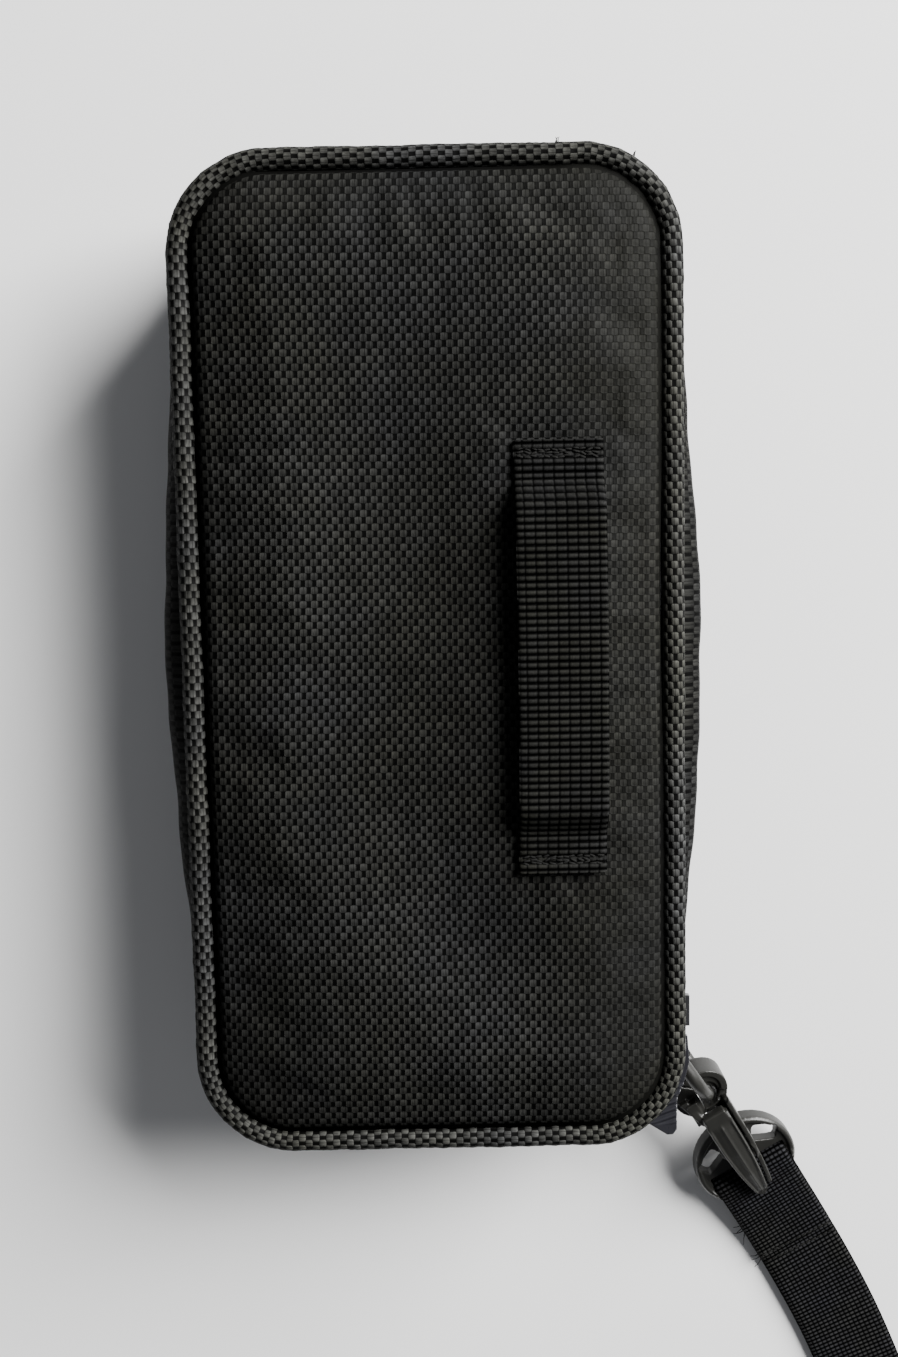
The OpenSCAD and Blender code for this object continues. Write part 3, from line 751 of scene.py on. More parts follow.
def bilinear(xs, ys, field, x, y):
    """The field on the even grid xs, ys, read off at x, y."""
    i = np.clip((x - xs[0]) / (xs[1] - xs[0]), 0, len(xs) - 1.001)
    j = np.clip((y - ys[0]) / (ys[1] - ys[0]), 0, len(ys) - 1.001)
    i0, j0 = i.astype(int), j.astype(int)
    a, b = i - i0, j - j0
    return (field[i0, j0] * (1 - a) * (1 - b) + field[i0 + 1, j0] * a * (1 - b)
            + field[i0, j0 + 1] * (1 - a) * b + field[i0 + 1, j0 + 1] * a * b)


# dusty places and places of painted light and shade on the panel: x, y, reach along x and y, strength
DUST_AND_LIGHT_PATCHES = ((-28, 22, 15, 44, 0.35), (-14, -58, 16, 22, 0.35), (10, -84, 20, 14, 0.3), (45, 30, 9, 70, 0.4),
        (34, 84, 16, 16, 0.3), (6, 22, 13, 50, -0.2), (-40, -88, 18, 24, -0.35), (14, -52, 14, 12, -0.3),
        (20, 70, 12, 12, -0.1), (40, -70, 12, 22, -0.15))


# the dust patches and the painted light and shade patches, summed
def dust_and_painted_light(x, y):
    return sum(strength * mound(x, y, *place) for *place, strength in DUST_AND_LIGHT_PATCHES)


def painted_light_share(x, y):
    """Share of the weave's contrast that is painted over with even light: most along the right edge, which
    faces the lamp.
    """
    side = smooth((x - 22) / 24) * (0.45 + 0.3 * smooth((y - 10) / 60))
    return np.clip(side + 0.25 * smooth((y - 88) / 14), 0, 0.8)


def panel(name, node, body, top, up, base, per=(3, 2), relief=0.24):
    """A padded panel: woven top over top(x, y), tucked into the seam, closed underneath at height base.
    up is 1 or -1 for the face it shows, and per is how many points each yarn gets across and along."""
    nx = int(100 / YARN[0] * per[0]) + 2
    ny = int(210 / YARN[1] * per[1]) + 2
    U, V = (np.arange(nx) - nx // 2) / per[0], (np.arange(ny) - ny // 2) / per[1]
    UU, VV = np.meshgrid(U, V, indexing="ij")
    x, y = UU * YARN[0], VV * YARN[1]
    # the yarns bow a little across the panel
    bow_x, bow_y = 0.45 * waves(x, y, 90, 11), 0.7 * waves(x, y, 110, 12)
    x, y = x + bow_x, y + bow_y
    e = inset_of(x, y, SEAM_IN)
    out, near = e < 0, e >= -1.6
    # points past the seam are pulled back on to it, along the slope of e
    gx = (inset_of(x + 0.01, y, SEAM_IN) - e) / 0.01
    gy = (inset_of(x, y + 0.01, SEAM_IN) - e) / 0.01
    g = np.maximum(np.hypot(gx, gy), 1e-6)
    x, y = np.where(out, x - gx / g * e, x), np.where(out, y - gy / g * e, y)
    e = np.maximum(e, 0)
    z = top(x, y) + tuck_of(x, y) + relief * basket_height(UU, VV) * smooth(e / 1.0)
    idx = -np.ones(UU.shape, int)
    idx[near] = np.arange(near.sum())
    verts = np.stack([x[near], y[near], up * z[near]], 1)
    a, b, c, d = idx[:-1, :-1], idx[1:, :-1], idx[1:, 1:], idx[:-1, 1:]
    inside = (~out[:-1, :-1]).astype(int) + ~out[1:, :-1] + ~out[1:, 1:] + ~out[:-1, 1:]
    ok = (a >= 0) & (b >= 0) & (c >= 0) & (d >= 0) & (inside > 0)
    I, J = np.nonzero(ok)
    quads = np.stack([a[ok], b[ok], c[ok], d[ok]], 1)
    quv = np.stack([np.stack([U[I], V[J]], 1), np.stack([U[I + 1], V[J]], 1),
                    np.stack([U[I + 1], V[J + 1]], 1), np.stack([U[I], V[J + 1]], 1)], 1)
    if up < 0:
        quads, quv = quads[:, ::-1], quv[:, ::-1]
    mesh = mesh_from(name, verts, quads.tolist(), quv.reshape(-1, 2))
    # attributes for the shader: dust with painted light and shade, and the share of painted light
    for zone, amount in (("dust_and_light", dust_and_painted_light), ("flat", painted_light_share)):
        values = mesh.attributes.new(zone, "FLOAT", "POINT")
        values.data.foreach_set("value", amount(verts[:, 0], verts[:, 1]).astype(np.float32))
    with edited(mesh) as bm:
        bmesh.ops.delete(bm, geom=[v for v in bm.verts if not v.link_faces], context="VERTS")
        bmesh.ops.remove_doubles(bm, verts=[v for v in bm.verts if v.is_boundary], dist=0.05 * MM)
        rim = [q for q in bm.edges if q.is_boundary]
        uv = bm.loops.layers.uv.active
        for item in bmesh.ops.extrude_edge_only(bm, edges=rim)["geom"]:
            if isinstance(item, bmesh.types.BMFace):
                for corner in item.loops:
                    corner[uv].uv = (1.0, 0.0)
            elif isinstance(item, bmesh.types.BMVert):
                item.co.z = base * MM
        bmesh.ops.contextual_create(bm, geom=[q for q in bm.edges if q.is_boundary])
        for f in bm.faces:
            f.smooth = True
        bmesh.ops.recalc_face_normals(bm, faces=bm.faces)
    return link(name, mesh, body, panel_mat, "panel_fabric", [node])


settle_x, settle_y, settled = settle(lambda x, y: PANEL_EDGE_Z + crown_height(x, y))


def back_top(x, y):
    e = inset_of(x, y, PANEL_IN)
    rise = bilinear(settle_x, settle_y, settled, x, y) * smooth(e / 6)
    return PANEL_EDGE_Z + crown_height(x, y) + rise - 0.25


def foam_pad(node, name, body, cover, way):
    """The foam, cut back at its rim so that the cover tucks down over it. cover(x, y) is the cloth's height,
    and way is 1 or -1 for the side it faces."""
    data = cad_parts[node].data.copy()
    data.name = name
    q = points_of(data)
    q[:, 0] *= 47.9 / 49.9
    q[:, 1] *= 102.9 / 104.9
    limit = cover(q[:, 0], q[:, 1]) - way * 1.1
    if way > 0:
        q[:, 2] = np.minimum(q[:, 2], np.maximum(limit, 45.2))
    else:
        q[:, 2] = np.maximum(q[:, 2], np.minimum(limit, 3.5))
    move_points(data, q)
    data.materials.clear()
    return link(name, data, body, foam_mat, "foam", [node])


def tuck_of(x, y):
    """How far the rim of a cover drops into its seam."""
    return -2.9 * (1 - smooth(inset_of(x, y, SEAM_IN) / 2.9)) ** 1.4


def front_top(x, y):
    """The face the case lies on: pressed flat by the table, so its weave just touches it."""
    e = inset_of(x, y, PANEL_IN)
    return -0.28 - 0.5 * (1 - smooth(e / 7)) - 0.10 * (1 + waves(x, y, 30, 21))


back_panel = panel("back_panel_cloth", "back_panel", "back_shell", back_top, 1, 46.9)
front_panel = panel("front_panel_cloth", "front_panel", "front_shell", front_top, -1, 1.0, (2, 2), 0.2)
foam_pad("back_foam", "back_foam_pad", "back_shell", lambda x, y: back_top(x, y) + tuck_of(x, y), 1)
foam_pad("front_foam", "front_foam_pad", "front_shell", lambda x, y: -front_top(x, y) - tuck_of(x, y), -1)


# ---------------------------------------------------------------- piping round both faces
def piping(name, node, body, zc, seed):
    """The nylon round a filler cord centred at height zc."""
    pts, nrm, s = edge_points(0.75)
    n_round = 24
    th = 2 * np.pi * np.arange(n_round) / n_round
    cells = int(round((s[-1] - 15.7) / YARN[1] / 2)) * 2
    X = np.arange(n_round)[None, :] / 2 + 0 * s[:-1, None]
    Y = s[:-1, None] / s[-1] * cells + 0 * X
    wob = 0.1 * wobble(s[:-1], s[-1] / 17, seed) + 0.05 * wobble(s[:-1], s[-1] / 61, seed + 1)
    r = PIPE_R - 0.22 + 0.22 * basket_height(X, Y) + 0.07 * wobble(s[:-1], s[-1] / 97, seed + 2)[:, None]
    off = (-PIPE_R + wob)[:, None] + r * np.cos(th)[None, :]
    P = np.zeros((len(pts), n_round, 3))
    P[..., :2] = pts[:, None] + nrm[:, None] * off[..., None]
    P[..., 2] = zc + r * np.sin(th) + 0.12 * wobble(s[:-1], s[-1] / 23, seed + 3)[:, None]
    mesh = grid_mesh(name, P, s / s[-1] * cells, np.arange(n_round + 1) / 2, True, True)
    # warp runs along the piping
    for d in mesh.uv_layers[0].data:
        d.uv = (d.uv[1], d.uv[0])
    return link(name, mesh, body, piping_mat, "piping_fabric", [node])


piping("back_piping_cover", "back_piping", "back_shell", 46.0, 31)
piping("front_piping_cover", "front_piping", "front_shell", 3.0, 41)


# ---------------------------------------------------------------- walls
def gusset(name, node, body, z0, z1, bulge, seed):
    """One wall cloth between heights z0 and z1, swelling out by bulge halfway along the long sides."""
    n = 9
    outer = [(-1.25, z0 + (z1 - z0) * k / n, math.sin(math.pi * k / n) ** 0.8) for k in range(n + 1)]
    inner = [(-2.15, z, share) for _, z, share in outer[::-1]]
    shares = [math.sin(math.pi * k / n) for k in range(n + 1)]
    shares += shares[::-1]
    phase = rng.uniform(0, 6.28, 4)

    def wave(s, k):
        share = shares[k]
        tilt = 0.5 + 0.5 * math.cos(k * 0.9)
        crease = np.sin(s / 7.3 + phase[0] + 0.5 * k) * np.sin(s / 31 + phase[1])
        return share * (0.35 * wobble(s, s[-1] / 13 + 1, seed) + 0.22 * crease * tilt)
    P, u, v = band(outer + inner, wave, bulge=bulge)
    mesh = grid_mesh(name, P, u, v, True, True)
    return link(name, mesh, body, wall_mat, "wall_fabric", [node])


FRONT_WALL, BACK_WALL = (5.6, 26.0, 3.0), (33.0, 43.4, 6.0)  # heights of each wall's edges, and its swell
gusset("front_wall_cloth", "front_gusset", "front_shell", *FRONT_WALL, 51)
gusset("back_wall_cloth", "back_gusset", "back_shell", *BACK_WALL, 61)


# ---------------------------------------------------------------- inside: lining trays and bound seams
def lining(name, node, body, rim, floor_z, seed):
    """Loose lining cloth: down the wall, round a soft corner, over the stiff board."""
    way = 1 if floor_z > rim else -1
    # offset and height of each row down the wall and in over the floor
    rows = [(-3.45, rim), (-3.5, rim + way * 1.2), (-3.5, floor_z - way * 3.4), (-3.7, floor_z - way * 2.2),
            (-4.3, floor_z - way * 1.1), (-5.4, floor_z - way * 0.35), (-7.2, floor_z - way * 0.05),
            (-10, floor_z), (-14, floor_z), (-18, floor_z), (-21.5, floor_z)]
    pts, nrm, s = edge_points(1.8)
    P = []
    for k, (d, z) in enumerate(rows):
        row = np.zeros((len(pts), 3))
        soft = 0.22 * wobble(s[:-1], s[-1] / 19, seed + k) * (1 if k > 1 else 0.2)
        row[:, :2] = pts + nrm * (d + soft * 0.6)[:, None]
        row[:, 2] = z
        P.append(row)
    last = P[-1]
    for k in range(1, 13):
        row = last.copy()
        row[:, :2] *= 1 - k / 13
        P.append(row)
    P = np.stack(P, 1)
    deep = np.zeros(P.shape[1])
    deep[6:] = 1
    x, y = P[..., 0], P[..., 1]
    P[..., 2] -= way * deep * (0.25 + 0.2 * waves(x, y, 37, seed) + 0.08 * waves(x, y, 9, seed + 1))
    mesh = grid_mesh(name, P, s / 0.45, np.arange(P.shape[1]) * 4.0, True, False)
    with edited(mesh) as bm:
        inner_rim = [q for q in bm.edges if q.is_boundary and abs(q.verts[0].co.z / MM - rim) > 1]
        bmesh.ops.contextual_create(bm, geom=inner_rim)
        bmesh.ops.recalc_face_normals(bm, faces=bm.faces)
    thicken(link(name, mesh, body, lining_mat, "lining_fabric", [node]), 0.35)


def thicken(obj, t):
    """Gives an open sheet the thickness t, half to each side."""
    m = obj.modifiers.new("t", "SOLIDIFY")
    m.thickness, m.offset = t * MM, 0.0
    mesh, old = evaluated_mesh(obj), obj.data
    obj.modifiers.clear()
    obj.data = mesh
    mesh.name = old.name
    bpy.data.meshes.remove(old)


lining("front_lining_cloth", "front_lining", "front_shell", 22.5, 5.75, 71)
lining("back_lining_cloth", "back_lining", "back_shell", 36.5, 42.95, 81)


def binding(name, node, body, z0, z1, seed):
    """Tape folded over the inner seam between heights z0 and z1, with a line of thread along it."""
    mid, half = (z0 + z1) / 2, (z1 - z0) / 2
    prof = []
    for k in range(14):
        c, q = math.cos(2 * math.pi * k / 14), math.sin(2 * math.pi * k / 14)
        across = -4.3 + 0.3 * math.copysign(abs(c) ** 0.6, c)
        prof.append((across, mid + half * math.copysign(abs(q) ** 0.7, q), 0))

    def wave(s, k):
        return 0.09 * np.sin(s / 2.1 + 0.6 * math.sin(k)) + 0.12 * wobble(s, s[-1] / 29, seed)
    P, u, v = band(prof, wave, step=0.9, yarn=(0.7, 0.7))
    link(name, grid_mesh(name, P, u, v, True, True), body, binding_mat, "binding", [node])
    pts, nrm, _ = edge_points(3.3)
    c = pts + nrm * -4.6
    centres = np.column_stack([c, np.full(len(c), z0 + 1.0 if z0 < ZIP_Z else z1 - 1.0)])
    inwards = np.column_stack([-nrm, np.zeros(len(c))])
    st = stitches(name + "_stitches", centres, flat_tangents(nrm), inwards, 2.4, 0.2, 0.3)
    link(st.name, st, body, thread_mat, "thread")


binding("front_bound_seam", "front_binding", "front_shell", 6.3, 11.1, 91)
binding("back_bound_seam", "back_binding", "back_shell", 37.6, 42.4, 95)


# ---------------------------------------------------------------- zipper
TEETH_PITCH, TEETH_END_Y = 1.5, -84.6


def zipper_half(tag, body, tape_node, teeth_node, seam, edge, seed):
    """Tape with a corded edge, closed over past the stops, and the moulded teeth on it. The tape runs from
    height seam to height edge."""
    way = 1 if edge > seam else -1
    pts, nrm, s = edge_points(1.0)
    # offset, share of the way from seam to edge
    sec = [(-3.0, 0.0), (-3.12, 0.5), (-3.12, 0.93), (-3.42, 0.965),
           (-3.3, 1.0), (-2.75, 1.005), (-2.3, 0.99),
           (-2.25, 0.96), (-2.55, 0.93), (-2.5, 0.5), (-2.5, 0.0)]
    open_part = smooth((pts[:, 1] + 89.5) / 2.5)
    top = edge * open_part + (ZIP_Z - way * 0.17) * (1 - open_part)
    P = np.zeros((len(pts), len(sec), 3))
    soft = 0.08 * wobble(s[:-1], s[-1] / 41, seed)
    for k, (d, t) in enumerate(sec):
        P[:, k, :2] = pts + nrm * (d + soft * (t < 0.9))[:, None]
        P[:, k, 2] = seam + (top - seam) * t
    mesh = grid_mesh("zipper_tape_" + tag + "_cloth", P, s / 0.6, np.arange(len(sec) + 1) * 1.0, True, True)
    link(mesh.name, mesh, body, tape_mat, "zipper_tape", [tape_node])
    # teeth: a rounded head on a narrower neck, clamped over the tape's cord
    pts, nrm, _ = edge_points(TEETH_PITCH / 2)
    tan = flat_tangents(nrm)[:, :2]
    verts, faces = [], []
    # rise, half width and half depth up one tooth, and the corners of its section
    profile = ((-0.15, 0.34, 0.50), (0.5, 0.36, 0.95), (1.5, 0.36, 0.95), (1.75, 0.30, 0.85),
               (2.05, 0.34, 0.75), (2.35, 0.36, 0.72), (2.6, 0.22, 0.45))
    corners = ((-1, -0.6), (-0.6, -1), (0.6, -1), (1, -0.6), (1, 0.6), (0.6, 1), (-0.6, 1), (-1, 0.6))
    for k in range(0 if tag == "front" else 1, len(pts), 2):
        if pts[k, 1] < TEETH_END_Y:
            continue
        c = pts[k] + nrm[k] * -2.6
        base = len(verts)
        z0 = edge - way * 0.95
        for rise, half, deep in profile:
            for sx, sd in corners:
                p = c + tan[k] * sx * half + nrm[k] * sd * deep
                verts.append((p[0], p[1], z0 + way * rise))
        faces += [f if way > 0 else f[::-1] for f in tube_faces(base, len(profile), 8)]
    mesh = mesh_from("zipper_teeth_" + tag + "_row", verts, faces)
    link(mesh.name, mesh, body, teeth_mat, "zipper_teeth", [teeth_node])
    # a line of thread holds the tape to the wall, on the swelling cloth
    pts, nrm, _ = edge_points(2.9)
    wall_z = 25.0 if way > 0 else 34.0
    c = np.column_stack([pts + nrm * -1.2, np.full(len(pts), wall_z)])
    keep = (np.abs(pts[:, 0]) > 32) | (pts[:, 1] > 0)
    out = np.column_stack([nrm, np.zeros(len(pts))])
    if way > 0:
        swell = FRONT_WALL[2] * math.sin(math.pi * (wall_z - FRONT_WALL[0]) / 20.4) ** 0.8
    else:
        swell = BACK_WALL[2] * math.sin(math.pi / 10.4) ** 0.8
    c = c + out * (swell * wall_swell(pts, nrm) + 0.06)[:, None]
    st = stitches("wall_stitches_" + tag, c[keep], flat_tangents(nrm)[keep], out[keep], 2.1, 0.19, 0.3)
    link(st.name, st, body, thread_mat, "thread")


zipper_half("front", "front_shell", "zipper_tape_front", "zipper_teeth_front", 23.0, 27.9, 101)
zipper_half("back", "back_shell", "zipper_tape_back", "zipper_teeth_back", 36.0, 31.1, 111)

HINGE_Y = -109.35


def hinge():
    """One cloth over both halves at the foot, where the lid turns."""
    xs, zs = np.linspace(-30, 30, 101), np.linspace(22.2, 36.8, 41)
    X, Z = np.meshgrid(xs, zs, indexing="ij")
    relief = 0.1 * basket_height(X / YARN[0], Z / YARN[1]) + 0.12 * waves(X, Z, 13, 121)
    edge = smooth(np.minimum(30.2 - np.abs(X), np.minimum(Z - 22.0, 37.0 - Z)) / 0.8)
    outer = np.stack([X, HINGE_Y - (0.33 * edge + 0.02) - relief * edge, Z], -1)
    inner = np.stack([X, HINGE_Y + (0.33 * edge + 0.02), Z], -1)
    P = np.concatenate([outer, inner[:, ::-1]], 1)
    v = np.concatenate([zs, [zs[-1] + 0.7], zs[::-1][1:], [zs[0] - 0.7]])[:P.shape[1] + 1] / YARN[1]
    mesh = grid_mesh("hinge_cloth", P, xs / YARN[0], v, False, True, cap=True)
    obj = link("hinge_cloth", mesh, None, wall_mat, "wall_fabric", ["hinge_tape_front", "hinge_tape_back"])
    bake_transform(obj)
    x = np.arange(-28.5, 28.6, 3.0)
    along, out = np.tile((1, 0, 0), (len(x), 1)), np.tile((0, -1, 0), (len(x), 1))
    for tag, z, body in (("front", 24.0, "front_shell"), ("back", 35.0, "back_shell")):
        c = np.column_stack([x, np.full(len(x), HINGE_Y - 0.47), np.full(len(x), z)])
        st = stitches("hinge_stitches_" + tag, c, along, out, 2.2, 0.2, 0.3)
        link(st.name, st, body, thread_mat, "thread")


hinge()


# ---------------------------------------------------------------- webbing
def rib_height(X, Y):
    """The ribbed shader's relief, for vertices: height 0 to 1 at rib and brick coordinates X, Y."""
    rib = np.sqrt(np.clip(1 - np.abs((X - np.round(X)) / 0.46) ** 3, 0, 1))
    seam = np.exp(-((0.5 - np.abs(Y - np.round(Y))) / 0.07) ** 2)
    return rib * (1 - 0.35 * seam)


def webbing(name, place, across, stations, rib, brick, thick, width, relief, extra=None):
    """A flat woven strap with ribs and bricks of the given pitch. stations are distances along it, and across
    is its count of points from edge to edge. place(across, up) gives the points for every station, and
    extra(stations, x) adds height to the upper face."""
    a = np.linspace(-1, 1, across)
    half = thick / 2 * np.clip(1 - np.abs(a) ** 14, 0.0, 1) ** 0.5
    X = stations[:, None] / rib + 0 * a[None]
    w = rib_height(X, a[None] * width / 2 / brick + 0 * X)
    drop = relief * (1 - w) * np.clip((1 - np.abs(a)) * 12, 0, 1)
    more = extra(stations[:, None], a[None] * width / 2) if extra else 0
    top = half[None] - drop + more
    low = -half[None] + drop
    P = np.concatenate([place(a * width / 2, top), place(a[::-1] * width / 2, low[:, ::-1])], 1)
    u = np.append(stations, stations[-1]) / rib
    v = np.concatenate([a, a[::-1], a[:1]]) * width / (2 * brick)
    return grid_mesh(name, P, u, v, False, True, cap=True)


# belt loop: flat sewn ends, arched between them
LOOP_LEN, LOOP_MID = LOOP_Y[1] - LOOP_Y[0], (LOOP_X[0] + LOOP_X[1]) / 2
LOOP_FOOT, LOOP_T, LOOP_RISE = 51.45, 1.4, 4.5


def loop_rise(s):
    """How far the loop stands off its feet at a distance along it."""
    e = np.minimum(s, LOOP_LEN - s)
    return LOOP_RISE * 0.5 * (1 - np.cos(np.pi * np.clip((e - 8) / 7, 0, 1)))


def belt_loop():
    s = np.arange(0, LOOP_LEN + 0.01, 0.2667)
    z = LOOP_FOOT + LOOP_T / 2 + loop_rise(s)
    slope = np.gradient(z, s)
    n = np.sqrt(1 + slope ** 2)
    lean = 0.35 * np.sin(np.pi * s / LOOP_LEN)

    def place(across, up):
        out = np.zeros((len(s), len(across), 3))
        out[..., 0] = LOOP_MID + across[None] + lean[:, None]
        out[..., 1] = (LOOP_Y[0] + s)[:, None] - up * (slope / n)[:, None]
        out[..., 2] = z[:, None] + up / n[:, None]
        return out

    def extra(s2, x):
        """The channel that each bar tack pulls in, with the webbing padded up beside it."""
        e = np.minimum(s2, LOOP_LEN - s2)
        channel = -0.5 * np.exp(-((e - 3.1) / 0.85) ** 2)
        pad = 0.22 * np.exp(-((e - 5.8) / 1.3) ** 2) + 0.12 * np.exp(-((e - 0.9) / 0.7) ** 2)
        return (channel + pad) * np.clip((9.6 - np.abs(x)) / 1.0, 0.15, 1) + 0.05 * waves(x, s2, 14, 131)

    width = LOOP_X[1] - LOOP_X[0]
    mesh = webbing("belt_loop_webbing", place, 61, s, 1.53, 2.23, LOOP_T, width, 0.4, extra)
    obj = link("belt_loop_webbing", mesh, "back_shell", webbing_mat, "webbing", ["belt_loop"])
    gen = np.random.default_rng(141)
    for tag, y in (("low", LOOP_Y[0] + 3.0), ("high", LOOP_Y[1] - 3.0)):
        rows = []
        for row in (-0.75, 0.0, 0.75):
            x = np.arange(-8.0, 8.1, 1.45) + LOOP_MID
            x = x + gen.uniform(-0.3, 0.3, len(x))
            z = np.full(len(x), LOOP_FOOT + LOOP_T - 0.5)
            rows.append(np.column_stack([x, y + row + gen.uniform(-0.25, 0.25, len(x)), z]))
        c = np.vstack(rows)
        turn = gen.uniform(-0.5, 0.5, len(c))
        along = np.column_stack([np.cos(turn), np.sin(turn), 0 * turn])
        st = stitches("loop_stitches_" + tag, c, along, np.tile((0, 0, 1), (len(c), 1)), 2.0, 0.26, 0.3)
        stands_for = ["belt_loop_stitches"] if tag == "low" else ()
        link(st.name, st, "back_shell", black_thread_mat, "thread", stands_for)


belt_loop()

# ---------------------------------------------------------------- ring tab and D ring
BAR = np.array((56.8435, -98.6158))  # the ring's pivot in x, y
RING_Z, RING_R, RING_LEN = 14.0, 1.75, 14.5
RING_HALF = 8 + RING_R
TAB_DIR = heading(-24)
TAB_ACROSS = np.array((-TAB_DIR[1], TAB_DIR[0]))


def ring_tab():
    """Webbing doubled round the ring's bar, its two ends sewn into the wall."""
    r = RING_R + 0.08 + 0.65
    pts = [(-5.15 + 5.15 * k / 14, 0.75 + (r - 0.75) * smooth(np.array(k / 11))) for k in range(15)]
    pts += [(r * math.cos(a), r * math.sin(a)) for a in np.linspace(math.pi / 2, -math.pi / 2, 25)[1:-1]]
    pts += [(x, -y) for x, y in pts[:15][::-1]]
    p2 = np.array(pts, float)
    flat_path = BAR + p2[:, :1] * TAB_DIR + p2[:, 1:] * TAB_ACROSS
    path = np.column_stack([flat_path, np.full(len(p2), RING_Z)])
    up = np.cross(unit(np.gradient(path, axis=0)), (0, 0, 1.0))
    length = closed_steps(path)[:-1]
    if np.dot(up[20], np.append(TAB_DIR, 0)) < 0:
        up = -up

    def place(across, lift):
        out = path[:, None] + up[:, None] * lift[..., None]
        out[..., 2] += across[None]
        return out
    mesh = webbing("ring_tab_webbing", place, 31, length, 1.4, 2.14, 1.3, 15.0, 0.25)
    link("ring_tab_webbing", mesh, "front_shell", webbing_mat, "webbing", ["ring_tab"])
    z = RING_Z - 6 + 2.4 * np.arange(6)
    c = np.column_stack([np.tile(BAR + TAB_DIR * -3.4 + TAB_ACROSS * 2.6, (6, 1)), z])
    along, out = np.tile((0, 0, 1), (6, 1)), np.tile((*TAB_ACROSS, 0), (6, 1))
    st = stitches("ring_tab_thread", c, along, out, 2.0, 0.22, 0.3)
    link(st.name, st, "front_shell", thread_mat, "thread", ["ring_tab_stitches"])


ring_tab()
RING_DIR = heading(-56)


def d_ring():
    """Round wire bent to a D, with tight bends at the bar and a fine mould line round the outside."""
    flat, bend = RING_LEN - RING_HALF, 1.7
    turns, top = np.linspace(0, math.pi / 2, 8)[1:], RING_HALF - bend
    pts = [(0, z) for z in np.linspace(-top, top, 22)]
    pts += [(bend - bend * math.cos(a), top + bend * math.sin(a)) for a in turns]
    pts += [(p, RING_HALF) for p in np.linspace(bend, flat, 6)[1:]]
    half_turn = np.linspace(0, math.pi, 49)[1:-1]
    pts += [(flat + RING_HALF * math.sin(a), RING_HALF * math.cos(a)) for a in half_turn]
    pts += [(p, -RING_HALF) for p in np.linspace(flat, bend, 6)]
    pts += [(bend - bend * math.sin(a), -top - bend * math.cos(a)) for a in turns[:-1]]
    p2 = np.array(pts, float)
    path = np.column_stack([BAR + p2[:, :1] * RING_DIR, RING_Z + p2[:, 1]])
    flat_n = np.array((-RING_DIR[1], RING_DIR[0], 0.0))
    side = np.cross(unit(np.roll(path, -1, 0) - np.roll(path, 1, 0)), flat_n)
    sec = []
    for k in range(24):
        a = 2 * math.pi * k / 24
        r = RING_R * (1.0 + (0.045 if k in (0, 12) else 0.0)) - 0.04
        sec.append((r * math.cos(a), r * math.sin(a)))
    sec = np.array(sec)
    P = path[:, None] + side[:, None] * sec[None, :, :1] + flat_n * sec[None, :, 1:]
    mesh = grid_mesh("d_ring_wire", P, closed_steps(path), closed_steps(sec), True, True)
    link("d_ring_wire", mesh, "ring", hard_mat, "hardware_plastic", ["d_ring"])


d_ring()

# ---------------------------------------------------------------- trigger hook and swivel loop
# hook coordinates: u along the hook, v across it, w up through it, from the middle of its head
HOOK = (Matrix.Translation(Vector((63, -109, 14))) @ Matrix.Rotation(math.radians(-60), 4, "Z")
        @ Matrix.Rotation(math.radians(16), 4, "Y"))
HOOK_M, HOOK_T = np.array(HOOK.to_3x3()), np.array(HOOK.translation)
HUB_U = 20.3  # where the loop swivels


def to_hook(p):
    return (p - HOOK_T) @ HOOK_M


def from_hook(q):
    return q @ HOOK_M.T + HOOK_T


def slab(outline, low, high):
    """Corners in mm of a convex lump over an outline in hook coordinates; low and high are heights
    (at start, at end) of u."""
    us = [u for u, _ in outline]
    share = [(u - min(us)) / max(max(us) - min(us), 0.1) for u in us]
    corners = [(*uv, a + (b - a) * k) for a, b in (low, high) for uv, k in zip(outline, share)]
    return from_hook(np.array(corners))


def arc(centre, radius, start, end, steps=5):
    """Points on an arc in hook coordinates, angles in degrees."""
    return [(centre[0] + radius * math.cos(a), centre[1] + radius * math.sin(a))
            for a in np.radians(np.linspace(start, end, steps))]


def eye_lumps():
    """Fills the eye down to a running fit round the ring, on the side away from the mouth."""
    ring_at, lumps = (2.4, 0.85), []
    for a in range(-10, 170, 15):
        inner = arc(ring_at, 2.45, a, a + 15, 2)
        outer = arc((1.4, 0.0), 4.2, a, a + 15, 2)
        lumps.append(slab(inner + outer, (-2.4, -2.4), (2.5, 2.5)))
    return lumps


def gate_lumps():
    """The gate's solid lobe, its arm up to the lever, and the roof over the pin."""
    # the lobe's underside slopes, to clear the ring in the eye and the hook's own head as the gate opens
    lobe = [slab([(-2.06, -1.5)] + arc((0, 0), 7.6, 216, 324, 12) + [(3.37, -1.5)], (0.3, 1.8), (3.0, 3.0)),
            slab([(2.4, -1.5), (6.3, -1.5), (6.6, -3.0), (3.4, -3.0)], (2.2, 2.2), (3.0, 3.0))]
    arm = [slab([(-0.5, -6.4), (6.9, -4.1), (6.9, -2.3), (-0.5, -4.4)], (2.4, 3.6), (4.4, 6.4))]
    roof = [slab([(4.9, -3.2), (4.9, 2.5), (9.5, 3.0), (9.5, -3.6)], (6.4, 7.25), (7.3, 7.8)),
            slab([(4.7, -3.3), (4.7, 2.4), (5.9, 2.6), (5.9, -3.5)], (4.9, 4.9), (6.9, 7.3))]
    return lobe + arm + roof


